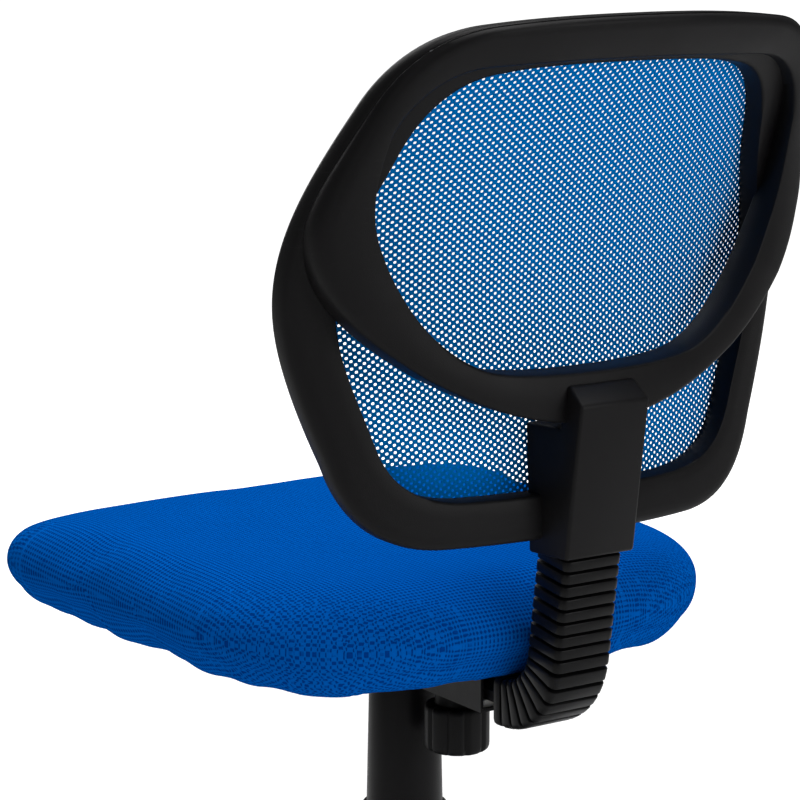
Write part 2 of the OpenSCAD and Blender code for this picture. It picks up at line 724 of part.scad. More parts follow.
module knob() {
    lobes = 10;
    neck_d = 34;
    grip_top = channel_bottom - knob_gap;
    neck_top = channel_bottom - 0.5;
    color(black) difference() {
        union() {
            translate([0, knob_y, grip_top - knob_h]) cylinder(h = knob_h, d = knob_d);
            translate([0, knob_y, grip_top - 1]) cylinder(h = neck_top - grip_top + 1, d = neck_d);
        }
        for (i = [0:lobes - 1]) translate([0, knob_y, grip_top - knob_h - 1]) rotate(i * 360 / lobes)
            translate([knob_d / 2 + 3.4, 0, 0]) cylinder(h = knob_h + 2, d = 10);
        translate([0, knob_y, grip_top - knob_h + knob_floor])
            cylinder(h = knob_h + 20, d = stud_d + 2 * fit);
    }
}
module knob_stud() {
    stud_bottom = channel_bottom - knob_gap - knob_h + knob_floor + 1;
    color(zinc) translate([0, knob_y, stud_bottom])
        cylinder(h = bar_top + nut_t + 4 - stud_bottom, d = stud_d);
}

// ================= back =================
module at_back_bolts() {
    for (z = [24, 62]) on_leg() translate([0, 0, z]) rotate([90, 0, 0]) children();
}
module back_spine() {
    rear_low = leg_y + 24;
    rear_high = rear_low + 15.5;
    rib_rear = back_y(rib_out_z) + rib_depth + 0.5;
    front = back_y(spine_bottom) + 6;
    cavity_w = bar_w + 1;
    color(black) difference() {
        translate([-spine_w / 2, 0, 0]) rotate([90, 0, 90]) linear_extrude(height = spine_w)
            polygon([[front, spine_bottom], [rear_low, spine_bottom], [rear_high, spine_top],
                     [rib_rear, spine_top + 11], [rib_rear, rib_out_z - 1], [front, rib_out_z - 1]]);
        on_leg() translate([0, 0, -5]) linear_extrude(height = leg_above + 5.5)
            bar_section(cavity_w, bar_t + 1);
        on_leg() translate([-cavity_w / 2, bar_t / 2 + spine_wall, 0])
            cube([cavity_w, 12, leg_above - 4]);
        at_back_bolts() translate([0, 0, bar_t / 2 + 2]) cylinder(h = 40, d = bolt_d * 2 + 1);
        at_back_bolts() translate([0, 0, -10]) cylinder(h = 20, d = bolt_d + 2 * fit);
    }
}
module back_bolts() {
    color(zinc) at_back_bolts() {
        translate([0, 0, bar_t / 2 + 2.2]) cylinder(h = 3, d = bolt_d * 2);
        translate([0, 0, -bar_t / 2 - 4]) cylinder(h = bar_t + 7, d = bolt_d);
    }
}
groove_in = 9;     // distance of the mesh groove from the ring's outer edge
groove_w = 4;
groove_depth = 5;
module mesh_ring() {
    notch_w = spine_w + 1;
    color(black) difference() {
        back_layer(0, ring_depth) difference() {
            outline(outer_edge());
            outline(outer_edge(ring_w - 3));
        }
        back_layer(-1, groove_depth) difference() {
            outline(outer_edge(groove_in));
            outline(outer_edge(groove_in + groove_w));
        }
        translate([-notch_w / 2, back_y(back_bottom) + 5.8, back_bottom - 20])
            cube([notch_w, 60, 90]);
        at_ring_screws() cylinder(h = 30, d = 3.2);
    }
}
module back_frame() {
    color(black) difference() {
        back_layer(ring_depth + 0.1) difference() {
            outline(rib_outer());
            outline(rib_inner());
        }
        at_ring_screws() cylinder(h = 14, d = 3.2);
    }
}
module back_mesh() {
    color(mesh_blue) back_layer(-mesh_t, -0.1) outline(outer_edge(groove_in - 3));
}
module mesh_cord() {
    color(mesh_blue) back_layer(0, groove_depth - 0.4) difference() {
        outline(outer_edge(groove_in + 0.5));
        outline(outer_edge(groove_in + groove_w - 0.5));
    }
}
// Screws from the ring's front face into the rear loop, with local +Z pointing back
ring_screw_at = [[0, back_top - 16], [0.72, back_top - 22], [-0.72, back_top - 22],
                 [0.91, back_top - 110], [-0.91, back_top - 110]];
module at_ring_screws() {
    for (p = ring_screw_at) translate([p[0] * half_w, 0, p[1]])
        translate([0, back_y(p[1]) - pow(p[0] * half_w, 2) / (2 * back_r) + ring_depth - 6, 0])
            rotate([-90, 0, 0]) children();
}
module ring_screws() {
    color(zinc) at_ring_screws() translate([0, 0, 0.5]) cylinder(h = 13, d = 3);
}

// ================= casters =================
// Puts a caster's child at its stem; the casters trail towards +Y
module at_caster(i) {
    a = (i - 1) * 360 / CASTERS - 90;
    translate([base_r * cos(a), base_r * sin(a), 0]) children();
}
module caster_stem(i) {
    color(zinc) at_caster(i) translate([0, 0, wheel_d - 3])
        cylinder(h = leg_tip_top - wheel_d + 2, d = stem_d);
}
module caster_hood(i) {
    shell_in = wheel_r + hood_gap;
    shell_w = 2 * wheel_w + wheel_gap - 6;
    color(black) at_caster(i) difference() {
        union() {
            translate([0, trail, wheel_r]) rotate([0, 90, 0]) difference() {
                translate([0, 0, -shell_w / 2]) cylinder(h = shell_w, r = shell_in + hood_t);
                translate([0, 0, -shell_w / 2 - 1]) cylinder(h = shell_w / 2 + 1 - web_t / 2, r = shell_in);
                translate([0, 0, web_t / 2]) cylinder(h = shell_w, r = shell_in);
                translate([-4, -60, -40]) cube([60, 120, 80]);
            }
            translate([0, trail, wheel_r]) rotate([0, 90, 0]) translate([0, 0, -web_t / 2])
                cylinder(h = web_t, r = wheel_r * 0.5);
            translate([0, 0, wheel_d - 5]) cylinder(h = stem_boss_bottom - wheel_d + 4.5, d = 19);
        }
        translate([0, 0, wheel_d - 6.1]) cylinder(h = 30, d = stem_d + 2 * fit);
        for (side = [-1, 1])    // room for the wheels to turn under the boss
            translate([side * (web_t / 2 + wheel_w + 0.1), trail, wheel_r]) rotate([0, 90, 0])
                cylinder(h = 2 * wheel_w, r = wheel_r + 0.7 * hood_gap, center = true);
        translate([-20, trail, wheel_r]) rotate([0, 90, 0]) cylinder(h = 40, d = axle_d + 2 * fit);
    }
}
module caster_axle(i) {
    axle_l = wheel_gap + 2 * wheel_w - 9;
    color(steel) at_caster(i) translate([-axle_l / 2, trail, wheel_r]) rotate([0, 90, 0])
        cylinder(h = axle_l, d = axle_d);
}
module caster_wheel(i, side) {
    recess = 3;
    color(black) at_caster(i) translate([side * (wheel_gap + wheel_w) / 2, trail, wheel_r])
        rotate([0, side * 90, 0]) difference() {
            union() {
                translate([0, 0, -wheel_w / 2]) cylinder(h = wheel_w - 3, d = wheel_d);
                translate([0, 0, wheel_w / 2 - 3]) cylinder(h = 3, d1 = wheel_d, d2 = wheel_d - 8);
            }
            translate([0, 0, -wheel_w / 2 - 1]) cylinder(h = wheel_w - 3, d = axle_d + 2 * fit);
            translate([0, 0, wheel_w / 2 - recess]) cylinder(h = recess + 1, d = wheel_d * 0.62);
        }
}

star_base();
column_tube();
column_guide();
thrust_bearing();
rod_clip();
lower_column_cover();
middle_column_cover();
upper_column_cover();
piston_rod();
gas_cylinder();
valve_button();
seat_mechanism();
glide_pad();
nut_plate();
seat_board();
t_nuts();
seat_bolts();
seat_foam();
seat_cover();
seat_underlay();
height_lever();
lever_grip();
lever_pin();
j_bar();
bellows();
knob();
knob_stud();
back_spine();
back_frame();
mesh_ring();
back_mesh();
mesh_cord();
back_bolts();
ring_screws();
for (i = [1:CASTERS]) {
    caster_stem(i);
    caster_hood(i);
    caster_axle(i);
    caster_wheel(i, 1);
    caster_wheel(i, -1);
}
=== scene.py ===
"""Swivel office chair with a see-through mesh back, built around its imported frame.

Lengths in the shape functions are millimetres; meshes are scaled to metres as they are finished.
"""
import json
from math import asin, atan2, cos, hypot, pi, radians, sin, sqrt, tan

import bmesh
import bpy
import numpy as np
from mathutils import Matrix, Vector, noise


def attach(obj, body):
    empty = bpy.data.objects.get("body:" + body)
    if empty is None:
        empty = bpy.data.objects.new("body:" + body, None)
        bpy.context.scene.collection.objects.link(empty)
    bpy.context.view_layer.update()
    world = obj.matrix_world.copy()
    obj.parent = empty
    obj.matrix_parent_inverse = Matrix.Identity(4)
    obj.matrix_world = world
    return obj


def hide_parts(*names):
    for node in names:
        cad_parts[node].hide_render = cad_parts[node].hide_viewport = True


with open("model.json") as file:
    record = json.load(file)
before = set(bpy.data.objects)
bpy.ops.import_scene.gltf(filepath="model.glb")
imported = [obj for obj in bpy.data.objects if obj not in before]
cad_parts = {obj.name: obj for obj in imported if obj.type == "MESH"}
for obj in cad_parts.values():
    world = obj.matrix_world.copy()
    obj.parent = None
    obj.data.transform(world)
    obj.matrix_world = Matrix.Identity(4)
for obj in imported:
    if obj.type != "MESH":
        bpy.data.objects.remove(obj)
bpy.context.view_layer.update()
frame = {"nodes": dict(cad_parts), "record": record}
nodes = frame["nodes"]
MM = 0.001


# ---------------------------------------------------------------- camera, light and floor
def aim(ob, target):
    """Turns a camera or a light to face a point."""
    ob.rotation_euler = (Vector(target) - ob.location).to_track_quat("-Z", "Y").to_euler()


def add_camera(place, target, lens, shift):
    cam = bpy.data.cameras.new("camera")
    cam.lens = lens
    cam.sensor_width = 36
    cam.shift_x = shift
    cam.clip_end = 200
    ob = bpy.data.objects.new("camera", cam)
    bpy.context.scene.collection.objects.link(ob)
    ob.location = place
    aim(ob, target)
    bpy.context.scene.camera = ob


def softbox(name, place, target, size, watts):
    light = bpy.data.lights.new(name, "AREA")
    light.shape = "RECTANGLE"
    light.size, light.size_y = size
    light.energy = watts
    ob = bpy.data.objects.new(name, light)
    bpy.context.scene.collection.objects.link(ob)
    ob.location = place
    aim(ob, target)


add_camera(place=(1.2148, 1.7875, 0.9461), target=(0, 0, 0.535), lens=129.5, shift=-0.00575)
softbox("key_overhead", (-0.2, 0.3, 3.2), (0, 0, 0.4), (2.6, 2.6), 88)
softbox("rear_fill", (-1.0, 3.2, 1.3), (0, 0, 0.5), (1.6, 1.3), 30)
softbox("side_fill", (2.8, 1.2, 1.2), (0, 0, 0.5), (1.0, 1.4), 4)
softbox("front_fill", (-0.6, -3.0, 1.8), (0, 0, 0.5), (1.8, 1.8), 26)


def studio_world(seen, lighting):
    """A plain white surround that is bright to look at and soft as a light."""
    world = bpy.data.worlds.new("studio")
    bpy.context.scene.world = world
    world.use_nodes = True
    tree = world.node_tree
    ray = tree.nodes.new("ShaderNodeLightPath")
    level = tree.nodes.new("ShaderNodeMapRange")
    tree.links.new(ray.outputs["Is Camera Ray"], level.inputs["Value"])
    level.inputs["To Min"].default_value = lighting
    level.inputs["To Max"].default_value = seen
    tree.nodes["Background"].inputs["Color"].default_value = (1, 1, 1, 1)
    tree.links.new(level.outputs[0], tree.nodes["Background"].inputs["Strength"])


studio_world(seen=1.0, lighting=0.12)
bpy.context.scene.view_settings.view_transform = "Standard"


# ---------------------------------------------------------------- shader tools
def new_group(name, inputs, outputs):
    """An empty shader node group with named float, colour or vector sockets."""
    group = bpy.data.node_groups.new(name, "ShaderNodeTree")
    for socket, kind, value in inputs:
        made = group.interface.new_socket(socket, in_out="INPUT", socket_type="NodeSocket" + kind)
        if value is not None:
            made.default_value = value
    for socket, kind in outputs:
        group.interface.new_socket(socket, in_out="OUTPUT", socket_type="NodeSocket" + kind)
    return group, group.nodes.new("NodeGroupInput"), group.nodes.new("NodeGroupOutput")


def node(tree, kind, values=None, **settings):
    made = tree.nodes.new("ShaderNode" + kind)
    for key, value in settings.items():
        setattr(made, key, value)
    for key, value in (values or {}).items():
        if isinstance(value, bpy.types.NodeSocket):
            tree.links.new(value, made.inputs[key])
        else:
            made.inputs[key].default_value = value
    return made


def maths(tree, operation, a, b=None, clamp=False):
    values = {0: a} if b is None else {0: a, 1: b}
    return node(tree, "Math", values, operation=operation, use_clamp=clamp).outputs[0]


def spread(tree, value, low, high, to_low=0.0, to_high=1.0, **settings):
    """Maps the range low to high of a value onto to_low to to_high."""
    values = {"Value": value, "From Min": low, "From Max": high, "To Min": to_low, "To Max": to_high}
    return node(tree, "MapRange", values, **settings).outputs[0]


def object_point(tree):
    return node(tree, "TexCoord").outputs["Object"]


def mix_colour(tree, factor, a, b):
    made = node(tree, "Mix", data_type="RGBA")
    for key, value in (("Factor", factor), ("A", a), ("B", b)):
        socket = [s for s in made.inputs if s.name == key and s.enabled][0]
        if isinstance(value, bpy.types.NodeSocket):
            tree.links.new(value, socket)
        else:
            socket.default_value = value if key == "Factor" else (*value, 1)
    return [s for s in made.outputs if s.enabled][0]


def grain_group():
    """Spark-eroded mould grain: Height for a bump, Mottle for slow changes of gloss."""
    tree, given, put = new_group(
        "moulded_grain",
        [("Grain Scale", "Float", 1400.0), ("Mottle Scale", "Float", 18.0)],
        [("Height", "Float"), ("Mottle", "Float")],
    )
    at = object_point(tree)
    fine = node(tree, "TexNoise",
                {"Vector": at, "Scale": given.outputs[0], "Detail": 3.0, "Roughness": 0.6})
    pits = node(tree, "TexVoronoi", {"Vector": at, "Scale": given.outputs[0]})
    height = maths(tree, "ADD", fine.outputs[0], maths(tree, "MULTIPLY", pits.outputs["Distance"], 0.6))
    slow = node(tree, "TexNoise",
                {"Vector": at, "Scale": given.outputs[1], "Detail": 4.0, "Roughness": 0.55})
    tree.links.new(height, put.inputs["Height"])
    tree.links.new(slow.outputs[0], put.inputs["Mottle"])
    return tree


def scuff_group():
    """Fine handling marks: thin stretched scratches that come and go over the surface."""
    tree, given, put = new_group(
        "handling_marks", [("Scale", "Float", 60.0), ("Coverage", "Float", 0.35)], [("Mask", "Float")]
    )
    at = object_point(tree)
    long_way = node(tree, "Mapping",
                    {"Vector": at, "Scale": (1.0, 1.0, 9.0), "Rotation": (0.4, 0.2, 0.3)})
    lines = node(tree, "TexNoise",
                 {"Vector": long_way.outputs[0], "Scale": given.outputs[0], "Detail": 6.0})
    patch = node(tree, "TexNoise", {"Vector": at, "Scale": 9.0, "Detail": 2.0})
    thin = spread(tree, lines.outputs[0], 0.60, 0.72)
    where = spread(tree, patch.outputs[0], 0.45, 0.7)
    both = maths(tree, "MULTIPLY", thin, where)
    tree.links.new(maths(tree, "MULTIPLY", both, given.outputs[1]), put.inputs["Mask"])
    return tree


def knit_group():
    """Air-mesh knit on a UV map in metres: holes on a grid between crossing strands."""
    tree, given, put = new_group(
        "air_mesh_knit",
        [("Pitch", "Float", 0.0042), ("Hole", "Float", 0.3), ("Stitches", "Float", 0.5)],
        [("Hole", "Float"), ("Height", "Float"), ("Yarn", "Float")],
    )
    uv = node(tree, "UVMap").outputs[0]
    split = node(tree, "SeparateXYZ", {0: uv})
    turns = maths(tree, "DIVIDE", 2 * pi, given.outputs["Pitch"])
    wave_u = maths(tree, "COSINE", maths(tree, "MULTIPLY", split.outputs[0], turns))
    wave_v = maths(tree, "COSINE", maths(tree, "MULTIPLY", split.outputs[1], turns))
    lattice = maths(tree, "MULTIPLY", maths(tree, "ADD", wave_u, wave_v), 0.25)
    raised = maths(tree, "ADD", lattice, 0.5)
    fray = node(tree, "TexNoise", {"Vector": uv, "Scale": 900.0, "Detail": 2.0})
    jitter = maths(tree, "MULTIPLY", maths(tree, "SUBTRACT", fray.outputs[0], 0.5), 0.22)
    level = maths(tree, "ADD", raised, jitter)
    edge = maths(tree, "SUBTRACT", 1.0, given.outputs["Hole"])
    hole = spread(tree, level, maths(tree, "SUBTRACT", edge, 0.12), maths(tree, "ADD", edge, 0.1))
    stitch = node(tree, "TexWave", {"Vector": uv, "Scale": 520.0, "Distortion": 2.0},
                  bands_direction="DIAGONAL")
    yarn = maths(tree, "MULTIPLY", stitch.outputs["Fac"], given.outputs["Stitches"])
    height = maths(tree, "SUBTRACT", maths(tree, "MULTIPLY", yarn, 0.3), hole)
    tree.links.new(hole, put.inputs["Hole"])
    tree.links.new(height, put.inputs["Height"])
    tree.links.new(yarn, put.inputs["Yarn"])
    return tree


GRAIN, SCUFF, KNIT = grain_group(), scuff_group(), knit_group()
finish = {}


def place_group(tree, group, **values):
    made = tree.nodes.new("ShaderNodeGroup")
    made.node_tree = group
    for key, value in values.items():
        made.inputs[key.replace("_", " ")].default_value = value
    return made


def new_material(name):
    """Adds a material to `finish` and gives its node tree and its surface node."""
    made = bpy.data.materials.new(name)
    made.use_nodes = True
    finish[name] = made
    return made.node_tree, made.node_tree.nodes["Principled BSDF"]


def bumped(tree, shader, height, depth, strength=1.0):
    bump = node(tree, "Bump", {"Height": height, "Distance": depth, "Strength": strength})
    tree.links.new(bump.outputs[0], shader.inputs["Normal"])


def moulded_plastic(name, dark, light, rough, grain=1400.0, depth=0.00006, gloss=0.14):
    """Satin moulded plastic with grain, a slow mottle and a few handling marks."""
    tree, shader = new_material(name)
    grain_at = place_group(tree, GRAIN, Grain_Scale=grain)
    mark_at = place_group(tree, SCUFF, Coverage=0.2)
    base = mix_colour(tree, grain_at.outputs["Mottle"], dark, light)
    worn = tuple(min(1.0, c * 2.2 + 0.01) for c in light)
    tree.links.new(mix_colour(tree, mark_at.outputs["Mask"], base, worn), shader.inputs["Base Color"])
    gloss_map = spread(tree, grain_at.outputs["Mottle"], 0.3, 0.7, rough - 0.05, rough + 0.06)
    tree.links.new(gloss_map, shader.inputs["Roughness"])
    shader.inputs["Specular IOR Level"].default_value = gloss
    bumped(tree, shader, grain_at.outputs["Height"], depth)


def painted_steel(name, colour, rough):
    """Powder coat: soft orange peel, a few marks."""
    tree, shader = new_material(name)
    grain_at = place_group(tree, GRAIN, Grain_Scale=260.0, Mottle_Scale=30.0)
    mark_at = place_group(tree, SCUFF, Coverage=0.5)
    pale = tuple(min(1.0, c + 0.03) for c in colour)
    tree.links.new(mix_colour(tree, mark_at.outputs["Mask"], colour, pale), shader.inputs["Base Color"])
    gloss_map = spread(tree, grain_at.outputs["Mottle"], 0.3, 0.7, rough - 0.05, rough + 0.08)
    tree.links.new(gloss_map, shader.inputs["Roughness"])
    shader.inputs["Specular IOR Level"].default_value = 0.25
    bumped(tree, shader, grain_at.outputs["Height"], 0.00008, 0.5)


def bright_steel(name, colour, rough):
    """Plated or ground steel with a drawn lay."""
    tree, shader = new_material(name)
    at = object_point(tree)
    drawn = node(tree, "Mapping", {"Vector": at, "Scale": (1.0, 1.0, 14.0)})
    streak = node(tree, "TexNoise", {"Vector": drawn.outputs[0], "Scale": 160.0, "Detail": 5.0})
    mark_at = place_group(tree, SCUFF, Coverage=0.5)
    dull = tuple(c * 0.7 for c in colour)
    tree.links.new(mix_colour(tree, streak.outputs[0], dull, colour), shader.inputs["Base Color"])
    gloss_map = spread(tree, streak.outputs[0], 0.3, 0.7, rough - 0.08, rough + 0.1)
    worn = maths(tree, "ADD", gloss_map, maths(tree, "MULTIPLY", mark_at.outputs["Mask"], 0.2))
    tree.links.new(worn, shader.inputs["Roughness"])
    shader.inputs["Metallic"].default_value = 1.0
    bumped(tree, shader, streak.outputs[0], 0.00003)


def knitted(name, strand, painted_hole_shade, pitch, hole, depth):
    """Air-mesh cover: a slow change of blue, holes darkened with painted shade, and a little sheen."""
    tree, shader = new_material(name)
    knit = place_group(tree, KNIT, Pitch=pitch, Hole=hole, Stitches=0.6)
    at = object_point(tree)
    slow = node(tree, "TexNoise", {"Vector": at, "Scale": 11.0, "Detail": 3.0})
    pale = tuple(min(1.0, c * 1.18) for c in strand)
    yarn = mix_colour(tree, slow.outputs[0], strand, pale)
    shade = tuple(c * 0.8 for c in strand)
    lit = mix_colour(tree, maths(tree, "MULTIPLY", knit.outputs["Yarn"], 0.35), yarn, shade)
    # The holes take the darker blue: painted shade where the knit is recessed.
    tree.links.new(mix_colour(tree, knit.outputs["Hole"], lit, painted_hole_shade), shader.inputs["Base Color"])
    shader.inputs["Roughness"].default_value = 0.9
    shader.inputs["Sheen Weight"].default_value = 0.06
    shader.inputs["Sheen Roughness"].default_value = 0.5
    shader.inputs["Sheen Tint"].default_value = (0.0, 0.25, 1.0, 1)
    shader.inputs["Specular IOR Level"].default_value = 0.0
    bumped(tree, shader, knit.outputs["Height"], depth)


def strand_fabric(name, strand, dark):
    """The open mesh's own threads: fine ribs along the thread, on Object coordinates."""
    tree, shader = new_material(name)
    at = object_point(tree)
    ribs = node(tree, "TexWave", {"Vector": at, "Scale": 700.0, "Distortion": 6.0, "Detail": 2.0},
                bands_direction="DIAGONAL")
    slow = node(tree, "TexNoise", {"Vector": at, "Scale": 25.0, "Detail": 3.0})
    tone = maths(tree, "MULTIPLY", ribs.outputs["Fac"], slow.outputs[0])
    tree.links.new(mix_colour(tree, tone, strand, dark), shader.inputs["Base Color"])
    shader.inputs["Roughness"].default_value = 0.7
    shader.inputs["Specular IOR Level"].default_value = 0.0
    bumped(tree, shader, ribs.outputs["Fac"], 0.00012)


def felted(name, colour):
    """Non-woven dust cloth: pressed dimples and loose fibre."""
    tree, shader = new_material(name)
    at = object_point(tree)
    dimple = node(tree, "TexVoronoi", {"Vector": at, "Scale": 420.0, "Randomness": 0.15})
    fibre = node(tree, "TexNoise", {"Vector": at, "Scale": 700.0, "Detail": 5.0})
    pale = tuple(c * 1.6 + 0.003 for c in colour)
    tree.links.new(mix_colour(tree, fibre.outputs[0], colour, pale), shader.inputs["Base Color"])
    shader.inputs["Roughness"].default_value = 0.95
    loose = maths(tree, "MULTIPLY", fibre.outputs[0], 0.5)
    bumped(tree, shader, maths(tree, "ADD", dimple.outputs["Distance"], loose), 0.0002)


def plywood(name):
    tree, shader = new_material(name)
    at = object_point(tree)
    grain_way = node(tree, "Mapping", {"Vector": at, "Scale": (14.0, 1.0, 60.0)})
    grain = node(tree, "TexNoise",
                 {"Vector": grain_way.outputs[0], "Scale": 8.0, "Detail": 8.0, "Distortion": 0.4})
    colour = mix_colour(tree, grain.outputs[0], (0.32, 0.19, 0.09), (0.62, 0.44, 0.26))
    tree.links.new(colour, shader.inputs["Base Color"])
    shader.inputs["Roughness"].default_value = 0.75
    bumped(tree, shader, grain.outputs[0], 0.0002)


def cut_foam(name):
    tree, shader = new_material(name)
    at = object_point(tree)
    cells = node(tree, "TexVoronoi", {"Vector": at, "Scale": 900.0})
    colour = mix_colour(tree, cells.outputs["Distance"], (0.6, 0.5, 0.28), (0.86, 0.78, 0.5))
    tree.links.new(colour, shader.inputs["Base Color"])
    shader.inputs["Roughness"].default_value = 1.0
    bumped(tree, shader, cells.outputs["Distance"], 0.0004)


moulded_plastic("nylon_black", (0.007, 0.007, 0.008), (0.011, 0.011, 0.012), 0.42, grain=900.0)
painted_steel("tube_black", (0.012, 0.012, 0.013), 0.38)
moulded_plastic("guide_nylon", (0.6, 0.6, 0.56), (0.7, 0.7, 0.66), 0.4, gloss=0.5)
bright_steel("bearing_steel", (0.5, 0.51, 0.53), 0.28)
bright_steel("zinc_steel", (0.58, 0.6, 0.64), 0.36)
moulded_plastic("cover_plastic", (0.0028, 0.0025, 0.003), (0.0046, 0.0042, 0.0049), 0.4)
bright_steel("chrome_rod", (0.72, 0.73, 0.75), 0.14)
painted_steel("cylinder_black", (0.014, 0.014, 0.016), 0.3)
# The mechanism pan is much darker than the other black steels: painted shade for the shadow under the
# seat.
painted_steel("pan_black", (0.0035, 0.0035, 0.004), 0.45)
plywood("plywood")
cut_foam("foam")
# Seat knit: strand blue, then a darker blue painted as shade in the holes.
knitted("seat_fabric", (0.0, 0.108, 0.5), (0.0, 0.045, 0.27), 0.0035, 0.38, 0.0006)
felted("dust_cloth", (0.01, 0.01, 0.011))
painted_steel("lever_steel", (0.012, 0.012, 0.013), 0.35)
moulded_plastic("grip_plastic", (0.012, 0.012, 0.013), (0.02, 0.02, 0.021), 0.4)
painted_steel("bar_black", (0.012, 0.012, 0.013), 0.42)
moulded_plastic("bellows_rubber", (0.003, 0.003, 0.0034), (0.0052, 0.0052, 0.0056), 0.36,
                depth=0.00003)
moulded_plastic("knob_plastic", (0.003, 0.003, 0.0034), (0.005, 0.005, 0.0054), 0.4)
moulded_plastic("back_plastic", (0.0046, 0.0043, 0.0048), (0.0072, 0.0068, 0.0074), 0.46)
strand_fabric("mesh_fabric", (0.0, 0.19, 0.6), (0.0, 0.13, 0.45))
moulded_plastic("caster_nylon", (0.012, 0.012, 0.013), (0.018, 0.018, 0.02), 0.4)
moulded_plastic("wheel_nylon", (0.014, 0.014, 0.015), (0.022, 0.022, 0.024), 0.36)

slot_of = {part["node"]: part["material_slot"] for part in frame["record"]["subparts"]}
for part, ob in nodes.items():
    ob.data.materials.clear()
    ob.data.materials.append(finish[slot_of[part]])


# ---------------------------------------------------------------- mesh tools
def keep(bm, name, body, slot, stands_for=(), crease=35.0):
    """Turns a bmesh in millimetres into a finished piece that rides on a body."""
    bmesh.ops.scale(bm, vec=(MM, MM, MM), verts=bm.verts)
    for face in bm.faces:
        face.smooth = True
    for edge in bm.edges:
        edge.smooth = len(edge.link_faces) != 2 or edge.calc_face_angle() < radians(crease)
    mesh = bpy.data.meshes.new(name)
    bm.to_mesh(mesh)
    bm.free()
    ob = bpy.data.objects.new(name, mesh)
    bpy.context.scene.collection.objects.link(ob)
    mesh.materials.append(finish[slot])
    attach(ob, body)
    if stands_for:
        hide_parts(*stands_for)
    return ob


def shell(across, around, place, wrap_around=False):
    """A grid of faces laid by place(i, j); i always runs round a closed section."""
    bm = bmesh.new()
    made = bmesh.ops.create_grid(bm, x_segments=across, y_segments=around, size=1)["verts"]
    for v in made:
        i = round((v.co.x + 1) / 2 * across)
        j = round((v.co.y + 1) / 2 * around)
        v.co = place(i % across, j % around if wrap_around else j)
    bmesh.ops.remove_doubles(bm, verts=made, dist=0.0005)
    return bm


def outward(bm):
    bmesh.ops.recalc_face_normals(bm, faces=bm.faces)
    return bm


def extruded(bm, face, way):
    """Gives a flat face some thickness along a vector."""
    made = bmesh.ops.extrude_face_region(bm, geom=[face])["geom"]
    bmesh.ops.translate(bm, vec=way, verts=[g for g in made if isinstance(g, bmesh.types.BMVert)])


def close_ends(bm):
    open_edges = [e for e in bm.edges if len(e.link_faces) == 1]
    bmesh.ops.holes_fill(bm, edges=open_edges, sides=0)


def add_part(bm, part):
    """Copies one bmesh into another and frees it."""
    spare = bpy.data.meshes.new("spare")
    part.to_mesh(spare)
    part.free()
    bm.from_mesh(spare)
    bpy.data.meshes.remove(spare)


def signed_power(value, power):
    return (1 if value > 0 else -1) * abs(value) ** power


def turned(points, steps=64, centre=(0, 0)):
    """A turned piece from (radius, height) points, from one end of its profile to the other."""
    bm = bmesh.new()
    verts = [bm.verts.new((r, 0, z)) for r, z in points]
    edges = [bm.edges.new(pair) for pair in zip(verts, verts[1:])]
    bmesh.ops.spin(bm, geom=verts + edges, cent=(0, 0, 0), axis=(0, 0, 1), angle=2 * pi,
                   steps=steps, use_merge=True)
    bmesh.ops.remove_doubles(bm, verts=bm.verts, dist=0.0005)
    outward(bm)
    bmesh.ops.translate(bm, vec=(*centre, 0), verts=bm.verts)
    return bm


def block(bm, size, centre, bevel, turn=None):
    """A box with bevelled edges, added to bm."""
    made = bmesh.ops.create_cube(bm, size=1)["verts"]
    bmesh.ops.scale(bm, vec=size, verts=made)
    edges = {e for v in made for e in v.link_edges}
    result = bmesh.ops.bevel(bm, geom=list(edges), offset=bevel, affect="EDGES", segments=1,
                             profile=0.5, material=-1)
    made = list({v for f in result["faces"] for v in f.verts} | {v for v in made if v.is_valid})
    if turn is not None:
        bmesh.ops.rotate(bm, cent=(0, 0, 0), matrix=turn, verts=made)
    bmesh.ops.translate(bm, vec=centre, verts=made)
    return made


# ---------------------------------------------------------------- the back's double curve
LUMBAR_Z, LUMBAR_Y = 612, 196
UPPER_LEAN, LOWER_LEAN = 15, 2.5
BACK_R = 564
BACK_BOTTOM, BACK_TOP, HALF_W = 472, 842, 216
RING_W, RIB_DEEP, TOP_DEEP = 36, 46, 30
RING_MIDDLE, LOOP_MIDDLE = 657, 705
RING_STEPS = 300


def back_y(z):
    """Y of the mesh on the middle line at height z."""
    return LUMBAR_Y + (UPPER_LEAN if z > LUMBAR_Z else LOWER_LEAN) * ((z - LUMBAR_Z) / 100) ** 2


def on_back(x, z, off):
    """A point `off` mm behind the mesh at (x, z)."""
    r = BACK_R + back_y(z) - LUMBAR_Y + off
    return Vector((x, LUMBAR_Y - BACK_R + sqrt(r * r - x * x), z))


def loop_depth(z):
    """The rear loop is deep at its rib and shallower towards the top."""
    return RIB_DEEP - (RIB_DEEP - TOP_DEEP) * min(1, max(0, z - LUMBAR_Z - 38) / 170)


def bezier(p, t):
    a, b, c, d = (Vector(q) for q in p)
    return a * (1 - t) ** 3 + b * 3 * t * (1 - t) ** 2 + c * 3 * t * t * (1 - t) + d * t ** 3


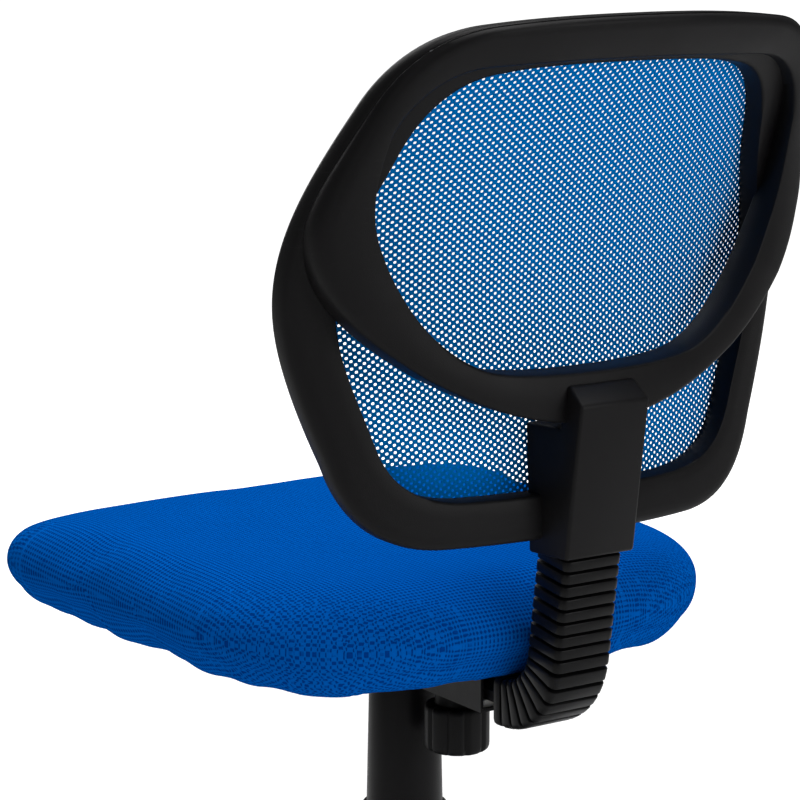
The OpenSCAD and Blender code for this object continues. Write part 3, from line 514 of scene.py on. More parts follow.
def outer_edge(inset=0):
    """Right half of the back's outline, top to bottom, as four-point curves."""
    w, top, bot = HALF_W - inset, BACK_TOP - inset, BACK_BOTTOM + inset
    return [
        [(0, top), (40, top), (80, top - 1), (w * 0.54, top - 5)],
        [(w * 0.54, top - 5), (w * 0.70, top - 8), (w * 0.80, top - 26), (w * 0.85, top - 57)],
        [(w * 0.85, top - 57), (w * 0.92, top - 100), (w, top - 140 + 0.6 * inset),
         (w, top - 187 + inset)],
        [(w, top - 187 + inset), (w, top - 227 + inset), (w * 0.93, bot + 100 - 0.45 * inset),
         (w * 0.86, bot + 63 - 0.42 * inset)],
        [(w * 0.86, bot + 63 - 0.42 * inset), (w * 0.81, bot + 28 - 0.25 * inset), (w * 0.72, bot + 4),
         (w * 0.51, bot + 1)],
        [(w * 0.51, bot + 1), (w * 0.35, bot), (w * 0.15, bot), (0, bot)],
    ]


RIB_TOP, RIB_W = BACK_TOP - 30, HALF_W - RING_W - 2
RIB_IN_Z = LUMBAR_Z - 18
RIB_OUT_Z = RIB_IN_Z - 38


def loop_inner():
    """Right half of the upper opening in the rear loop."""
    w, top = RIB_W, RIB_TOP
    return [
        [(0, top), (40, top), (80, top - 1), (w * 0.66, top - 3)],
        [(w * 0.66, top - 3), (w * 0.82, top - 5), (w * 0.93, top - 24), (w * 0.97, top - 48)],
        [(w * 0.97, top - 48), (w, top - 80), (w, top - 105), (w * 0.94, top - 128)],
        [(w * 0.94, top - 128), (w * 0.86, top - 165), (w * 0.68, RIB_IN_Z + 14),
         (w * 0.47, RIB_IN_Z + 5)],
        [(w * 0.47, RIB_IN_Z + 5), (w * 0.32, RIB_IN_Z), (w * 0.15, RIB_IN_Z), (0, RIB_IN_Z)],
    ]


def loop_outer():
    """Right half of the rear loop's outside, with the rib across the bottom."""
    w, top = HALF_W, BACK_TOP
    start = outer_edge()
    return start[:2] + [
        [start[2][0], start[2][1], (w * 0.985, top - 125), (w * 0.972, top - 150)],
        [(w * 0.972, top - 150), (w * 0.955, top - 190), (w * 0.82, top - 216),
         (w * 0.615, RIB_OUT_Z + 41)],
        [(w * 0.615, RIB_OUT_Z + 41), (w * 0.45, RIB_OUT_Z + 22), (w * 0.30, RIB_OUT_Z + 4),
         (0, RIB_OUT_Z)],
    ]


def polar(stretches, centre_z, count):
    """`count` points round a closed, mirrored outline, at equal angles about its centre."""
    half = [bezier(s, t / 24) for s in stretches for t in range(24)] + [Vector(stretches[-1][3])]
    full = half + [Vector((-p.x, p.y)) for p in reversed(half[1:-1])]
    angle = np.array([atan2(p.x, p.y - centre_z) for p in full])
    radius = np.array([hypot(p.x, p.y - centre_z) for p in full])
    order = np.argsort(angle)
    angle, radius = angle[order], radius[order]
    angle = np.concatenate([angle[-1:] - 2 * pi, angle, angle[:1] + 2 * pi])
    radius = np.concatenate([radius[-1:], radius, radius[:1]])
    turn = np.linspace(-pi, pi, count, endpoint=False)
    r = np.interp(turn, angle, radius)
    return [Vector((r[k] * sin(turn[k]), centre_z + r[k] * cos(turn[k]))) for k in range(count)]


def frame_ring(name, outer, inner, centre_z, section, stands_for):
    """A closed moulded ring: section(z) lists (edge, inset, off) round its cross-section."""
    outside, inside = polar(outer, centre_z, RING_STEPS), polar(inner, centre_z, RING_STEPS)
    lines = []
    for a, b in zip(outside, inside):
        way = (b - a).normalized()
        row = []
        for edge, inset, off in section((a.y + b.y) / 2):
            p = a + way * inset if edge == "o" else b - way * inset
            row.append(on_back(p.x, p.y, off))
        lines.append(row)
    bm = shell(len(lines[0]), RING_STEPS, lambda i, j: lines[j][i], wrap_around=True)
    keep(outward(bm), name, "back", "back_plastic", stands_for, crease=50)


def ring_section(z):
    """Round the front ring's section: from its inner lip, over the rear, to the cord's groove."""
    return [
        ("i", 2.2, 0), ("i", 0.6, 0.6), ("i", 0, 2.2), ("i", 0, 10), ("i", 0, 17.4),
        ("i", 0.7, 19.3), ("i", 2.6, 20), ("i", 12, 20.2), ("o", 12, 20.2), ("o", 7, 20),
        ("o", 3.4, 19), ("o", 1.0, 16.6), ("o", 0, 13), ("o", 0, 5), ("o", 0.9, 1.8),
        ("o", 3.0, 0.2), ("o", 8.8, 0), ("o", 9.2, 3.6), ("o", 12.8, 3.6), ("o", 13.2, 0),
        ("o", 20, 0),
    ]


def loop_section(z):
    """Round the rear loop's section, with a softer outer edge higher up."""
    d = loop_depth(z)
    soft = 4.0 + 7.0 * min(1, max(0, (z - 620) / 70))
    rise = max(d - soft, 22.5)
    return [
        ("i", 2, 16), ("i", 0, 18), ("i", 0, d - 2.6), ("i", 0.7, d - 0.8), ("i", 2.4, d),
        ("o", soft, d), ("o", soft * 0.55, d - soft * 0.10), ("o", soft * 0.25, d - soft * 0.34),
        ("o", soft * 0.07, d - soft * 0.68), ("o", 0.2, rise), ("o", 0.2, 22.2), ("o", 1.2, 20.6),
        ("o", 3, 16),
    ]


frame_ring("front_ring", outer_edge(), outer_edge(RING_W - 3), RING_MIDDLE, ring_section, ["mesh_ring"])
frame_ring("rear_loop", loop_outer(), loop_inner(), LOOP_MIDDLE, loop_section, ["back_frame"])


def edge_cord():
    """The cord that locks the mesh in the ring's groove."""
    sides, across, painted_hole_shade = 8, 1.75, 1.9
    line = polar(outer_edge(11), RING_MIDDLE, RING_STEPS)

    def place(i, j):
        a = 2 * pi * i / sides
        n = (Vector((0, RING_MIDDLE)) - line[j]).normalized() * across * cos(a)
        return on_back(line[j].x + n.x, line[j].y + n.y, 0.7 + painted_hole_shade * sin(a))

    bm = shell(sides, RING_STEPS, place, wrap_around=True)
    keep(outward(bm), "mesh_edge_cord", "back", "mesh_fabric", ["mesh_cord"], crease=80)


edge_cord()


# ---------------------------------------------------------------- open mesh
HOLE_W, HOLE_H = 6.0, 5.2
LATTICE_TURN = radians(5.2)
MESH_CELLS, MESH_EDGE_INSET, MESH_T = 150, 11.5, 0.7
HALF_STRAND, HOLE_CORNER = 0.84, 0.8
EDGE_POINTS = 720


def inside_test(stretches, centre_z):
    """A quick test for points inside a mirrored outline."""
    ring = polar(stretches, centre_z, EDGE_POINTS)
    reach = [hypot(p.x, p.y - centre_z) for p in ring]

    def test(x, z):
        turn = atan2(x, z - centre_z)
        return hypot(x, z - centre_z) <= reach[int((turn + pi) / (2 * pi) * EDGE_POINTS) % EDGE_POINTS]

    return test


def open_mesh(side, level, name):
    """A quarter of the mesh: a lattice of strands with an eight-sided hole in every cell."""
    inside = inside_test(outer_edge(MESH_EDGE_INSET), RING_MIDDLE)
    bm = bmesh.new()
    bmesh.ops.create_grid(bm, x_segments=MESH_CELLS, y_segments=MESH_CELLS, size=MESH_CELLS / 2)
    turn = Matrix.Rotation(-LATTICE_TURN, 2)
    for v in bm.verts:
        p = turn @ Vector(((v.co.x + v.co.y) * HOLE_W / 2, (v.co.x - v.co.y) * HOLE_H / 2))
        v.co = (p.x, 0, p.y + RING_MIDDLE)

    def outside(at):
        return at.x * side < 0 or (at.z - RING_MIDDLE) * level < 0 or not inside(at.x, at.z)

    beyond = [f for f in bm.faces if outside(f.calc_center_median())]
    bmesh.ops.delete(bm, geom=beyond, context="FACES")
    strands = set(bmesh.ops.inset_individual(bm, faces=bm.faces[:], thickness=HALF_STRAND,
                                             use_even_offset=True)["faces"])
    holes = [f for f in bm.faces if f not in strands]
    corners = list({v for f in holes for v in f.verts})
    bmesh.ops.bevel(bm, geom=corners, offset=HOLE_CORNER, affect="VERTICES", segments=1,
                    profile=0.5, material=-1)
    gone = [f for f in bm.faces if len(f.verts) == 8]
    bmesh.ops.delete(bm, geom=gone, context="FACES_ONLY")
    for v in bm.verts:
        v.co = on_back(v.co.x, v.co.z, -MESH_T / 2)
    outward(bm)
    bmesh.ops.solidify(bm, geom=bm.faces[:], thickness=MESH_T)
    piece = keep(outward(bm), "open_mesh_" + name, "back", "mesh_fabric", ["back_mesh"], crease=40)


for level, height in ((1, "upper"), (-1, "lower")):
    for side, hand in ((1, "left"), (-1, "right")):
        open_mesh(side, level, height + "_" + hand)

# ---------------------------------------------------------------- spine
LEG_Y, LEG_BOTTOM, BAR_LEAN = 220, 462, radians(8)
SPINE_TOP = 574


def spine():
    """The box-section cover over the bar: wider towards the mesh, with a sloped cap over the loop."""
    rear_low, rear_high = LEG_Y + 24, LEG_Y + 39.5
    loop_rear = back_y(RIB_OUT_Z) + RIB_DEEP
    front = back_y(LEG_BOTTOM + 30) + 1.2
    side = [(front + 5, LEG_BOTTOM), (rear_low, LEG_BOTTOM), (rear_high, SPINE_TOP),
            (loop_rear + 1.5, SPINE_TOP + 12), (loop_rear - 8, SPINE_TOP + 12),
            (loop_rear - 8, RIB_OUT_Z - 1), (front, RIB_OUT_Z - 1)]
    bm = bmesh.new()
    start = bm.faces.new([bm.verts.new((-1, y, z)) for y, z in side])
    extruded(bm, start, (2, 0, 0))
    for v in bm.verts:
        half = 34.5 if v.co.y < front + 6 else 30
        v.co.x *= half - (1.5 if v.co.z > SPINE_TOP + 5 else 0)
    outward(bm)
    bmesh.ops.bevel(bm, geom=bm.edges[:], offset=2.4, affect="EDGES", segments=3, profile=0.5,
                    material=-1)
    keep(bm, "spine_cover", "back", "back_plastic", ["back_spine"], crease=30)


spine()

# ---------------------------------------------------------------- bellows
BAR_Z, BEND_R = 338, 50
FOLD_PITCH, BELLOWS_W, BELLOWS_D = 9.1, 50, 37
BEND_END_Z = BAR_Z + BEND_R * (1 - sin(BAR_LEAN))
BEND_END_Y = LEG_Y - tan(BAR_LEAN) * (LEG_BOTTOM - BEND_END_Z)
BEND_Y, BEND_Z = BEND_END_Y - BEND_R * cos(BAR_LEAN), BAR_Z + BEND_R
LEG_LEN = (LEG_BOTTOM - BEND_END_Z) / cos(BAR_LEAN)
BEND_LEN = BEND_R * (pi / 2 - BAR_LEAN)
FLAT_LEN = 9


def along_bar(s):
    """Centre and outward normal of the bar at length s from the bellows' front end."""
    if s < FLAT_LEN:
        return Vector((0, BEND_Y - FLAT_LEN + s, BAR_Z)), Vector((0, 0, -1))
    if s < FLAT_LEN + BEND_LEN:
        a = (s - FLAT_LEN) / BEND_R
        out = Vector((0, sin(a), -cos(a)))
        return Vector((0, BEND_Y + BEND_R * sin(a), BEND_Z - BEND_R * cos(a))), out
    up = Vector((0, sin(BAR_LEAN), cos(BAR_LEAN)))
    out = Vector((0, cos(BAR_LEAN), -sin(BAR_LEAN)))
    return Vector((0, BEND_END_Y, BEND_END_Z)) + up * (s - FLAT_LEN - BEND_LEN), out


def fold_outline(w, d, corner, steps=3):
    """A rectangle with rounded corners."""
    points = []
    for sx, sy, start in ((1, 1, 0), (-1, 1, 90), (-1, -1, 180), (1, -1, 270)):
        for k in range(steps + 1):
            a = radians(start + 90 * k / steps)
            points.append((sx * (w / 2 - corner) + corner * cos(a),
                           sy * (d / 2 - corner) + corner * sin(a)))
    return points


def bellows():
    """The ribbed sleeve that follows the bent bar up to the spine."""
    total = FLAT_LEN + BEND_LEN + LEG_LEN
    folds = int(total / FOLD_PITCH)
    pitch = total / folds
    fold_sink = 5.2
    wave = [(0.0, fold_sink), (0.10, 5.0), (0.16, 1.0), (0.20, 0.25), (0.27, 0.0), (0.86, 0.0),
            (0.93, 0.3), (0.97, 1.2)]
    rows = [((k + share) * pitch, sink) for k in range(folds) for share, sink in wave]
    rows.append((total, fold_sink))
    sides = fold_outline(BELLOWS_W, BELLOWS_D, 5)

    def place(i, j):
        s, sink = rows[j]
        centre, out = along_bar(min(s, total))
        x, d = sides[i]
        kx = (BELLOWS_W / 2 - sink) / (BELLOWS_W / 2)
        kd = (BELLOWS_D / 2 - sink) / (BELLOWS_D / 2)
        return centre + Vector((1, 0, 0)) * x * kx + out * d * kd

    bm = shell(len(sides), len(rows) - 1, place)
    close_ends(bm)
    keep(outward(bm), "bellows_folds", "back", "bellows_rubber", ["bellows"], crease=32)


bellows()


# ---------------------------------------------------------------- knob, covers and lever
def knob():
    """The fluted hand knob under the seat."""
    y, top, h, r = 71, 313, 37, 25
    profile = [(0.4, 0), (10, 0), (18, 0.2), (21.6, 0.9), (23.8, 2.4), (24.8, 4.6), (r, 7),
               (r, h - 5), (24.7, h - 2.4), (23.6, h - 0.8), (21.5, h), (17.4, h), (17, h + 0.5),
               (17, h + 12), (16.4, h + 12.5), (5.6, h + 12.5)]
    flutes, flute_deep, steps = 10, 1.9, 160

    def place(i, j):
        radius, z = profile[j]
        a = 2 * pi * i / steps
        groove = max(0, cos(flutes * a)) ** 3 * flute_deep * min(1, max(0, (radius - 20) / 4))
        return Vector(((radius - groove) * cos(a), y + (radius - groove) * sin(a), top - h + z))

    bm = shell(steps, len(profile) - 1, place)
    close_ends(bm)
    keep(outward(bm), "fluted_knob", "knob", "knob_plastic", ["knob"], crease=40)


knob()


def column_cover(name, body, top, bottom, wall=1.6):
    """One stage of the telescopic cover: a drafted tube with rolled rims."""
    (r1, z1), (r0, z0) = top, bottom
    outside = [(r1 - 1.0, z1), (r1 - 0.25, z1 - 0.25), (r1, z1 - 1.2), (r0, z0 + 1.0),
               (r0 - 0.3, z0 + 0.2), (r0 - 1.0, z0)]
    inside = [(r0 - wall, z0 + 0.4), (r1 - wall, z1 - 0.4)]
    loop = outside + inside
    keep(turned(loop + loop[:1], steps=96), name + "_shell", body, "cover_plastic", [name], crease=45)


column_cover("upper_column_cover", "seat_unit", (27.5, 326), (31.25, 150))
column_cover("middle_column_cover", "middle_cover", (33.15, 214), (33.65, 140))
column_cover("lower_column_cover", "base", (35.55, 204), (36.55, 112))

LEVER_X, LEVER_Z, LEVER_LEN, LEVER_DROP = -37, 349, 168, 16


def lever_paddle():
    """The flat moulded grip on the end of the height lever."""
    length, wide, thick = 62, 24, 9
    slope = Matrix.Rotation(radians(-90) - atan2(LEVER_DROP, LEVER_LEN), 3, "Y")
    stations = [(0, 0.30), (0.8, 0.50), (3, 0.62), (12, 0.72), (24, 0.86), (38, 1), (50, 1),
                (57, 0.93), (60.4, 0.74), (length, 0.4)]
    round_points = 28

    def place(i, j):
        along, share = stations[j]
        a = 2 * pi * i / round_points
        flat = max(share, 0.55 if along > 3 else share)
        x = thick / 2 * flat * signed_power(cos(a), 0.7)
        y = wide / 2 * share * signed_power(sin(a), 0.7)
        dish = 0.9 * sin(pi * min(1, along / length)) * max(0, -cos(a))
        p = slope @ Vector((x + dish, y, LEVER_LEN - length + 6 + along))
        return p + Vector((LEVER_X, 0, LEVER_Z))

    bm = shell(round_points, len(stations) - 1, place)
    close_ends(bm)
    keep(outward(bm), "lever_paddle", "lever", "grip_plastic", ["lever_grip"], crease=50)


lever_paddle()

# ---------------------------------------------------------------- star base and casters
LEGS, LEG_R, BASE_BOTTOM = 5, 268, 60


def star():
    """The five-legged nylon base: hollow drafted legs, a collared hub and a boss at each tip."""
    hub = [(25.5, 50), (40.5, 50), (42, 51.5), (42, 96), (41, 102), (38.5, 107), (37.8, 111),
           (37, 112), (25.5, 112)]
    bm = turned(hub + hub[:1], steps=96)
    stations = [(26, 106), (60, 104.6), (120, 101), (180, 94), (240, 87.5), (262, 85), (269, 84),
                (276, 82.4), (281, 79.5), (284, 74.5), (285, 66)]
    boss = [(5.8, 58), (11.2, 58), (12, 59), (12, 76), (5.8, 76)]
    arch, leg_wall = 14, 3.5

    def half_width(r):
        """Half the leg's width at radius r, rounded off at the tip."""
        w = 22 - 6 * (r - 30) / 255
        return w if r < 269 else w * sqrt(max(0.02, 1 - ((r - 269) / 16.4) ** 2))

    def place(i, j):
        r, top = stations[j]
        outer = i <= arch
        a = pi * (i if outer else 2 * arch + 1 - i) / arch
        wall = 0 if outer else leg_wall
        w, h = half_width(r) - wall, top - BASE_BOTTOM - wall
        if not outer and r > 250:
            h = 2.0
        return Vector((r, w * signed_power(cos(a), 0.62), BASE_BOTTOM + h * abs(sin(a)) ** 0.55))

    for k in range(LEGS):
        leg = shell(2 * arch + 2, len(stations) - 1, place)
        close_ends(leg)
        for at in (95, 150, 205):
            block(leg, (2.4, 2 * half_width(at) - 5, 26), (at, 0, BASE_BOTTOM + 15), 0.4)
        add_part(leg, turned(boss + boss[:1], steps=32, centre=(LEG_R, 0)))
        outward(leg)
        turn = Matrix.Rotation(radians(72 * k - 90), 3, "Z")
        bmesh.ops.rotate(leg, cent=(0, 0, 0), matrix=turn, verts=leg.verts)
        add_part(bm, leg)
    keep(bm, "star_legs", "base", "nylon_black", ["star_base"], crease=42)


star()

WHEEL_R, WHEEL_W, TRAIL, WHEEL_GAP = 25, 17, 18, 9


def caster(number):
    """One twin-wheel caster: two wheels on their own bodies and the hood over them."""
    a = radians(72 * (number - 1) - 90)
    at = Vector((LEG_R * cos(a), LEG_R * sin(a), 0))
    hub_at = at + Vector((0, TRAIL, WHEEL_R))
    body = "caster_%d" % number
    half = WHEEL_W / 2
    tread = [(0, half - 4.1), (4.3, half - 4.1), (4.3, -half), (22.4, -half), (24.3, -half + 0.7),
             (WHEEL_R, -half + 2.4), (WHEEL_R, -0.9), (24.5, -0.5), (24.5, 0.5), (WHEEL_R, 0.9),
             (WHEEL_R, half - 3.8), (24.2, half - 1.4), (22, half - 0.2), (19.5, half),
             (16.4, half - 0.2), (15.4, half - 1.2), (15.1, half - 2.9), (8.6, half - 2.9),
             (7.6, half - 2.2), (7.2, half - 0.9), (6.2, half - 0.3), (0, half - 0.2)]
    for side, word in ((1, "left"), (-1, "right")):
        bm = turned(tread, steps=64)
        for k in range(6):
            turn = Matrix.Rotation(radians(60 * k), 3, "Z")
            made = block(bm, (7.2, 1.8, 1.6), (0, 0, 0), 0.3)
            bmesh.ops.translate(bm, vec=(12, 0, half - 2.5), verts=made)
            bmesh.ops.rotate(bm, cent=(0, 0, 0), matrix=turn, verts=made)
        turn = Matrix.Rotation(radians(90 * side), 3, "Y")
        bmesh.ops.rotate(bm, cent=(0, 0, 0), matrix=turn, verts=bm.verts)
        wheel_at = hub_at + Vector((side * (WHEEL_GAP + WHEEL_W) / 2, 0, 0))
        bmesh.ops.translate(bm, vec=wheel_at, verts=bm.verts)
        keep(outward(bm), "%s_tyre_%s" % (body, word), "%s_%s" % (body, word), "wheel_nylon",
             ["%s_wheel_%s" % (body, word)], crease=35)
    section = [(26.2, -18), (26.4, -18.5), (27.4, -18.5), (28.1, -18.0), (28.4, -17.2),
               (28.4, 17.2), (28.1, 18.0), (27.4, 18.5), (26.4, 18.5), (26.2, 18)]
    steps = 40

    def place(i, j):
        r, x = section[i]
        turn = radians(8.5 + 163 * j / steps)
        return hub_at + Vector((x, r * cos(turn), r * sin(turn)))

    bm = shell(len(section), steps, place)
    close_ends(bm)
    web = [(27 * cos(radians(t)), 27 * sin(radians(t))) for t in range(9, 172, 9)]
    web += [(12.5 * cos(radians(t)), 12.5 * sin(radians(t))) for t in range(171, 370, 18)]
    face = bm.faces.new([bm.verts.new(hub_at + Vector((-3.8, y, z))) for y, z in web])
    extruded(bm, face, (7.6, 0, 0))
    boss = [(5.8, 50.5), (9.0, 50.5), (9.5, 51.2), (9.5, 56.4), (8.6, 57.5), (5.8, 57.5)]
    add_part(bm, turned(boss + boss[:1], steps=32, centre=at.xy))
    keep(outward(bm), body + "_fork_cover", body, "caster_nylon", [body + "_hood"], crease=35)


for number in range(1, LEGS + 1):
    caster(number)

# ---------------------------------------------------------------- cushion
SEAT_TOP, SEAT_T = 430, 71
SEAT_W, SEAT_TAPER, SEAT_D, SEAT_REAR = 456, 26, 445, 184
FRONT_R, REAR_R, ROLL = 62, 150, 33
SEAT_MID = SEAT_TOP - SEAT_T / 2
SEAT_UNDER = SEAT_TOP - SEAT_T - 1.2
VOXEL = 0.0055
OUTLINE_POINTS = 480
KNIT_ROLL = 31


def seat_plan(inset, count):
    """Points round the cushion's outline: the hull of its four corner circles, shrunk by inset."""
    fx, fy = SEAT_W / 2 - FRONT_R, SEAT_REAR - SEAT_D + FRONT_R
    rx, ry = (SEAT_W - SEAT_TAPER) / 2 - REAR_R, SEAT_REAR - REAR_R
    gap = hypot(fx - rx, ry - fy)
    lean = atan2(fx - rx, ry - fy) - asin((REAR_R - FRONT_R) / gap)
    corners = [(fx, fy, FRONT_R, -pi / 2, lean), (rx, ry, REAR_R, lean, pi / 2)]
    dense = []
    for cx, cy, r, a0, a1 in corners:
        for k in range(33):
            a = a0 + (a1 - a0) * k / 32
            dense.append(Vector((cx + (r - inset) * cos(a), cy + (r - inset) * sin(a))))
    dense += [Vector((-p.x, p.y)) for p in reversed(dense)]
    dense.append(dense[0])
    length = np.concatenate([[0], np.cumsum([(b - a).length for a, b in zip(dense, dense[1:])])])
    at = np.linspace(0, length[-1], count, endpoint=False)
    xs = np.interp(at, length, [p.x for p in dense])
    ys = np.interp(at, length, [p.y for p in dense])
    return [Vector((xs[k], ys[k])) for k in range(count)]


def front_fall(y):
    """How far the cushion's top drops towards its front edge."""
    front = SEAT_REAR - SEAT_D
    t = max(0, 1 - (y - front) / 120)
    return 10 * t * t


def start_slab():
    """A plain rolled slab inside the cushion, before it is blown up."""
    count, turns, inner, shrink = 120, 12, 7, 3.0
    core = seat_plan(ROLL, count)
    centre = Vector((0, SEAT_REAR - SEAT_D / 2))
    half = SEAT_T / 2 - shrink
    rows = [("flat", k / inner, 1) for k in range(inner)]
    rows += [("roll", k / turns, 0) for k in range(turns + 1)]
    rows += [("flat", 1 - (k + 1) / inner, -1) for k in range(inner)]

    def place(i, j):
        kind, share, way = rows[j]
        p = core[i]
        if kind == "flat":
            q = centre + (p - centre) * share
            z = SEAT_MID + way * half
        else:
            a = pi * share
            before, after = core[i - 1], core[(i + 1) % count]
            n = Vector((after.y - before.y, before.x - after.x)).normalized()
            q = p + n * (ROLL - shrink) * sin(a)
            z = SEAT_MID + half * cos(a)
        if z > SEAT_MID:
            z -= front_fall(q.y) * (z - SEAT_MID) / half
        return Vector((q.x, q.y, z))

    return outward(shell(count, len(rows) - 1, place))


def blow_up(ob):
    """Cloth under pressure, with each point's travel capped, applied to the mesh."""
    frames, pressure, cap = 14, 4.0, 8
    rest = np.array([v.co[:] for v in ob.data.vertices])
    cloth = ob.modifiers.new("cloth", "CLOTH")
    cloth.settings.use_pressure = True
    cloth.settings.uniform_pressure_force = pressure
    cloth.settings.effector_weights.gravity = 0
    cloth.settings.quality = 6
    cloth.settings.tension_stiffness = 22
    cloth.settings.compression_stiffness = 22
    cloth.settings.shear_stiffness = 8
    cloth.settings.bending_stiffness = 8
    cloth.settings.mass = 0.3
    cloth.point_cache.frame_start = 1
    cloth.point_cache.frame_end = frames
    scene = bpy.context.scene
    for k in range(1, frames + 1):
        scene.frame_set(k)
    graph = bpy.context.evaluated_depsgraph_get()
    blown = np.array([v.co[:] for v in ob.evaluated_get(graph).data.vertices])
    ob.modifiers.remove(cloth)
    scene.frame_set(1)
    move = blown - rest
    far = np.linalg.norm(move, axis=1)
    scale = np.minimum(1, cap * MM / np.maximum(far, 1e-9))
    done = rest + move * scale[:, None]
    ob.data.vertices.foreach_set("co", done.ravel().astype(np.float32))
    ob.data.update()


def cushion():
    """The seat's cushion, blown up from the slab and settled on its board."""
    ob = keep(start_slab(), "seat_cushion", "seat_unit", "seat_fabric", ["seat_cover", "seat_foam"],
              crease=180)
    bpy.context.view_layer.objects.active = ob
    ob.parent = None
    remesh = ob.modifiers.new("remesh", "REMESH")
    remesh.mode = "VOXEL"
    remesh.voxel_size = VOXEL
    graph = bpy.context.evaluated_depsgraph_get()
    fresh = bpy.data.meshes.new_from_object(ob.evaluated_get(graph))
    ob.modifiers.remove(remesh)
    ob.data = fresh
    blow_up(ob)
    settle_cushion(ob)
    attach(ob, "seat_unit")


def stretch_to(bm, low, high):
    """Brings a shape's box back to the size it was cut for."""
    for axis in range(3):
        at = [v.co[axis] for v in bm.verts]
        start, scale = min(at), (high[axis] - low[axis]) / (max(at) - min(at))
        for v in bm.verts:
            v.co[axis] = low[axis] + (v.co[axis] - start) * scale


def smoothed(bm, times):
    for _ in range(times):
        bmesh.ops.smooth_vert(bm, verts=bm.verts, factor=0.5, use_axis_x=True, use_axis_y=True,
                              use_axis_z=True)


def settle_cushion(ob):
    """Flattens the underside on its board, puckers the lower roll, and lays the knit's UV map."""
    mesh = ob.data
    bm = bmesh.new()
    bm.from_mesh(mesh)
    bmesh.ops.scale(bm, vec=(1 / MM, 1 / MM, 1 / MM), verts=bm.verts)
    smoothed(bm, 14)
    bmesh.ops.subdivide_edges(bm, edges=bm.edges, cuts=1, use_grid_fill=True)
    smoothed(bm, 3)
    stretch_to(bm, (-SEAT_W / 2 - 3, SEAT_REAR - SEAT_D - 3, SEAT_UNDER),
               (SEAT_W / 2 + 3, SEAT_REAR + 1, SEAT_TOP + 1))
    xy = np.array([p[:] for p in seat_plan(ROLL, OUTLINE_POINTS)])
    uv = bm.loops.layers.uv.new("knit")
    pucker_from, flat_from = 1.5, 2.2
    unrolled = {}
    for v in bm.verts:
        p = np.array(v.co[:2])
        gap = np.linalg.norm(xy - p, axis=1)
        near = int(gap.argmin())
        q = xy[near]
        out = xy[(near + 1) % OUTLINE_POINTS] - xy[near - 1]
        n = Vector((out[1], -out[0])).normalized()
        away = max(0.0, (p[0] - q[0]) * n.x + (p[1] - q[1]) * n.y)
        turn = atan2(away, v.co.z - SEAT_MID)
        if away == 0 and v.co.z < SEAT_MID:
            v.co.z = SEAT_UNDER
        elif turn > pucker_from:
            ripple = noise.noise(Vector((q[0], q[1], 3.7)) * 0.017) * 6
            ripple += noise.noise(Vector((q[0], q[1], 9.1)) * 0.04) * 2
            over_bar = abs(q[0]) < 45 and q[1] > 100
            fade = min(1, (turn - pucker_from) / 0.8) * min(1, (pi - turn) / 0.25)
            v.co.z += (SEAT_UNDER - v.co.z) * min(1, max(0, turn - flat_from) / 0.7)
            v.co.z += fade * (abs(ripple) * 0.3 if over_bar else ripple)
        if away > 0:
            s = KNIT_ROLL * min(turn, pi - turn)
            p = (q[0] + n.x * s, q[1] + n.y * s)
        unrolled[v.index] = p
    for face in bm.faces:
        for loop in face.loops:
            u = unrolled[loop.vert.index]
            loop[uv].uv = (u[0] * MM, u[1] * MM)
        face.smooth = True
    bmesh.ops.scale(bm, vec=(MM, MM, MM), verts=bm.verts)
    bm.to_mesh(mesh)
    bm.free()
    mesh.materials.clear()
    mesh.materials.append(finish["seat_fabric"])


cushion()


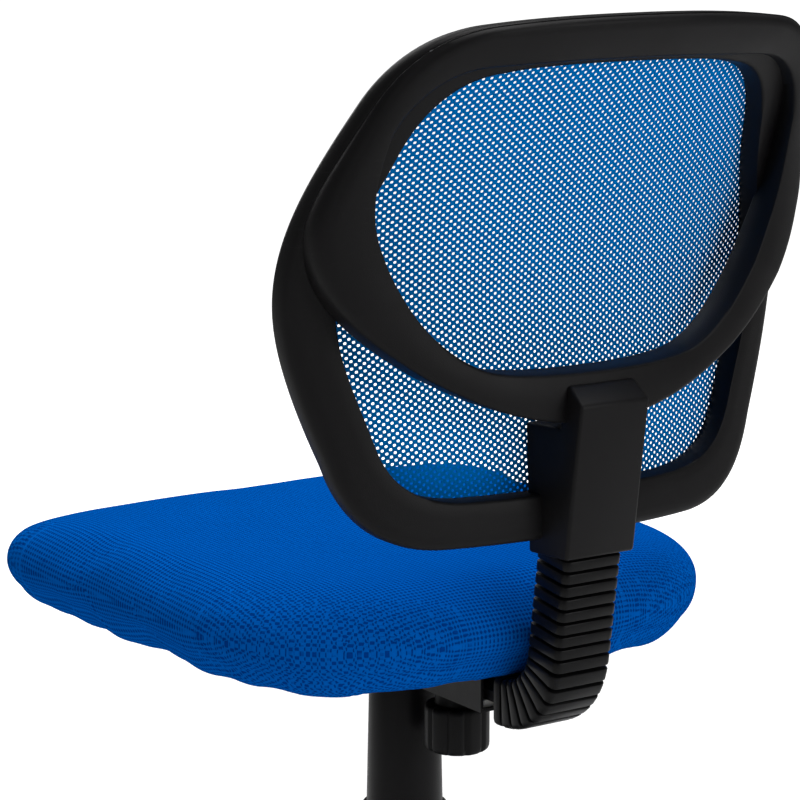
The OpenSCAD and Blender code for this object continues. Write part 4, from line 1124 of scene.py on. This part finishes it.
# ---------------------------------------------------------------- dust cloth under the seat
def dust_cloth():
    """The thin black cloth under the board, open round the mechanism, puckered by its staples."""
    count, rings, staples = 144, 9, 36
    outer = seat_plan(39, count)
    cloth_z, staple_z = 357.3, 356.5
    cut_x, cut_y0, cut_y1 = 99, -66, 118

    def cut_edge(p):
        centre = Vector((0, (cut_y0 + cut_y1) / 2))
        d = p - centre
        k = max(abs(d.x) / cut_x, abs(d.y) / ((cut_y1 - cut_y0) / 2))
        return centre + d / k

    def place(i, j):
        p, t = outer[i], j / rings
        q = p + (cut_edge(p) - p) * t
        rest = abs(sin(pi * staples * i / count))
        slack = 0.5 * sin(pi * t) * noise.noise(Vector((q.x, q.y, 0)) * 0.03)
        pucker = 0.9 * rest * max(0, 1 - 3 * t) + slack
        pull = 1.6 * rest * (1 - t) ** 4
        n = (cut_edge(p) - p).normalized()
        return Vector((q.x + n.x * pull, q.y + n.y * pull, cloth_z - max(0, pucker)))

    bm = outward(shell(count, rings, place))
    if sum(f.normal.z for f in bm.faces) > 0:
        bmesh.ops.reverse_faces(bm, faces=bm.faces)
    area = sum(f.calc_area() for f in bm.faces) * 1e-6
    bmesh.ops.solidify(bm, geom=bm.faces[:], thickness=0.5)
    cloth = keep(bm, "dust_cloth_sheet", "seat_unit", "dust_cloth", ["seat_underlay"], crease=60)
    bm = bmesh.new()
    for k in range(staples):
        i = k * count // staples
        p, q = outer[i], outer[(i + 1) % count]
        turn = Matrix.Rotation(atan2(q.y - p.y, q.x - p.x), 3, "Z")
        n = (cut_edge(p) - p).normalized() * 4
        block(bm, (9, 1.1, 0.6), (p.x + n.x, p.y + n.y, staple_z), 0.2, turn)
    keep(bm, "dust_cloth_staples", "seat_unit", "zinc_steel", crease=40)


dust_cloth()

# ---------------------------------------------------------------- floor
floor_bm = bmesh.new()
bmesh.ops.create_grid(floor_bm, x_segments=1, y_segments=1, size=60)
floor_mesh = bpy.data.meshes.new("floor")
floor_bm.to_mesh(floor_mesh)
floor_bm.free()
floor = bpy.data.objects.new("floor", floor_mesh)
bpy.context.scene.collection.objects.link(floor)
floor_tree, floor_shader = new_material("floor_white")
floor_shader.inputs["Base Color"].default_value = (0.9, 0.9, 0.9, 1)
floor_shader.inputs["Roughness"].default_value = 0.9
floor_shader.inputs["Emission Strength"].default_value = 1.0
floor_at = object_point(floor_tree)
reach = node(floor_tree, "VectorMath", {0: floor_at}, operation="LENGTH").outputs["Value"]
glow = spread(floor_tree, reach, 0.6, 2.4, 0.2, 1.0, interpolation_type="SMOOTHSTEP")
seen = node(floor_tree, "LightPath").outputs["Is Camera Ray"]
floor_tree.links.new(maths(floor_tree, "MULTIPLY", glow, seen), floor_shader.inputs["Emission Color"])
under = node(floor_tree, "NewGeometry").outputs["Backfacing"]
floor_tree.links.new(maths(floor_tree, "SUBTRACT", 1.0, under), floor_shader.inputs["Alpha"])
floor_mesh.materials.append(finish["floor_white"])
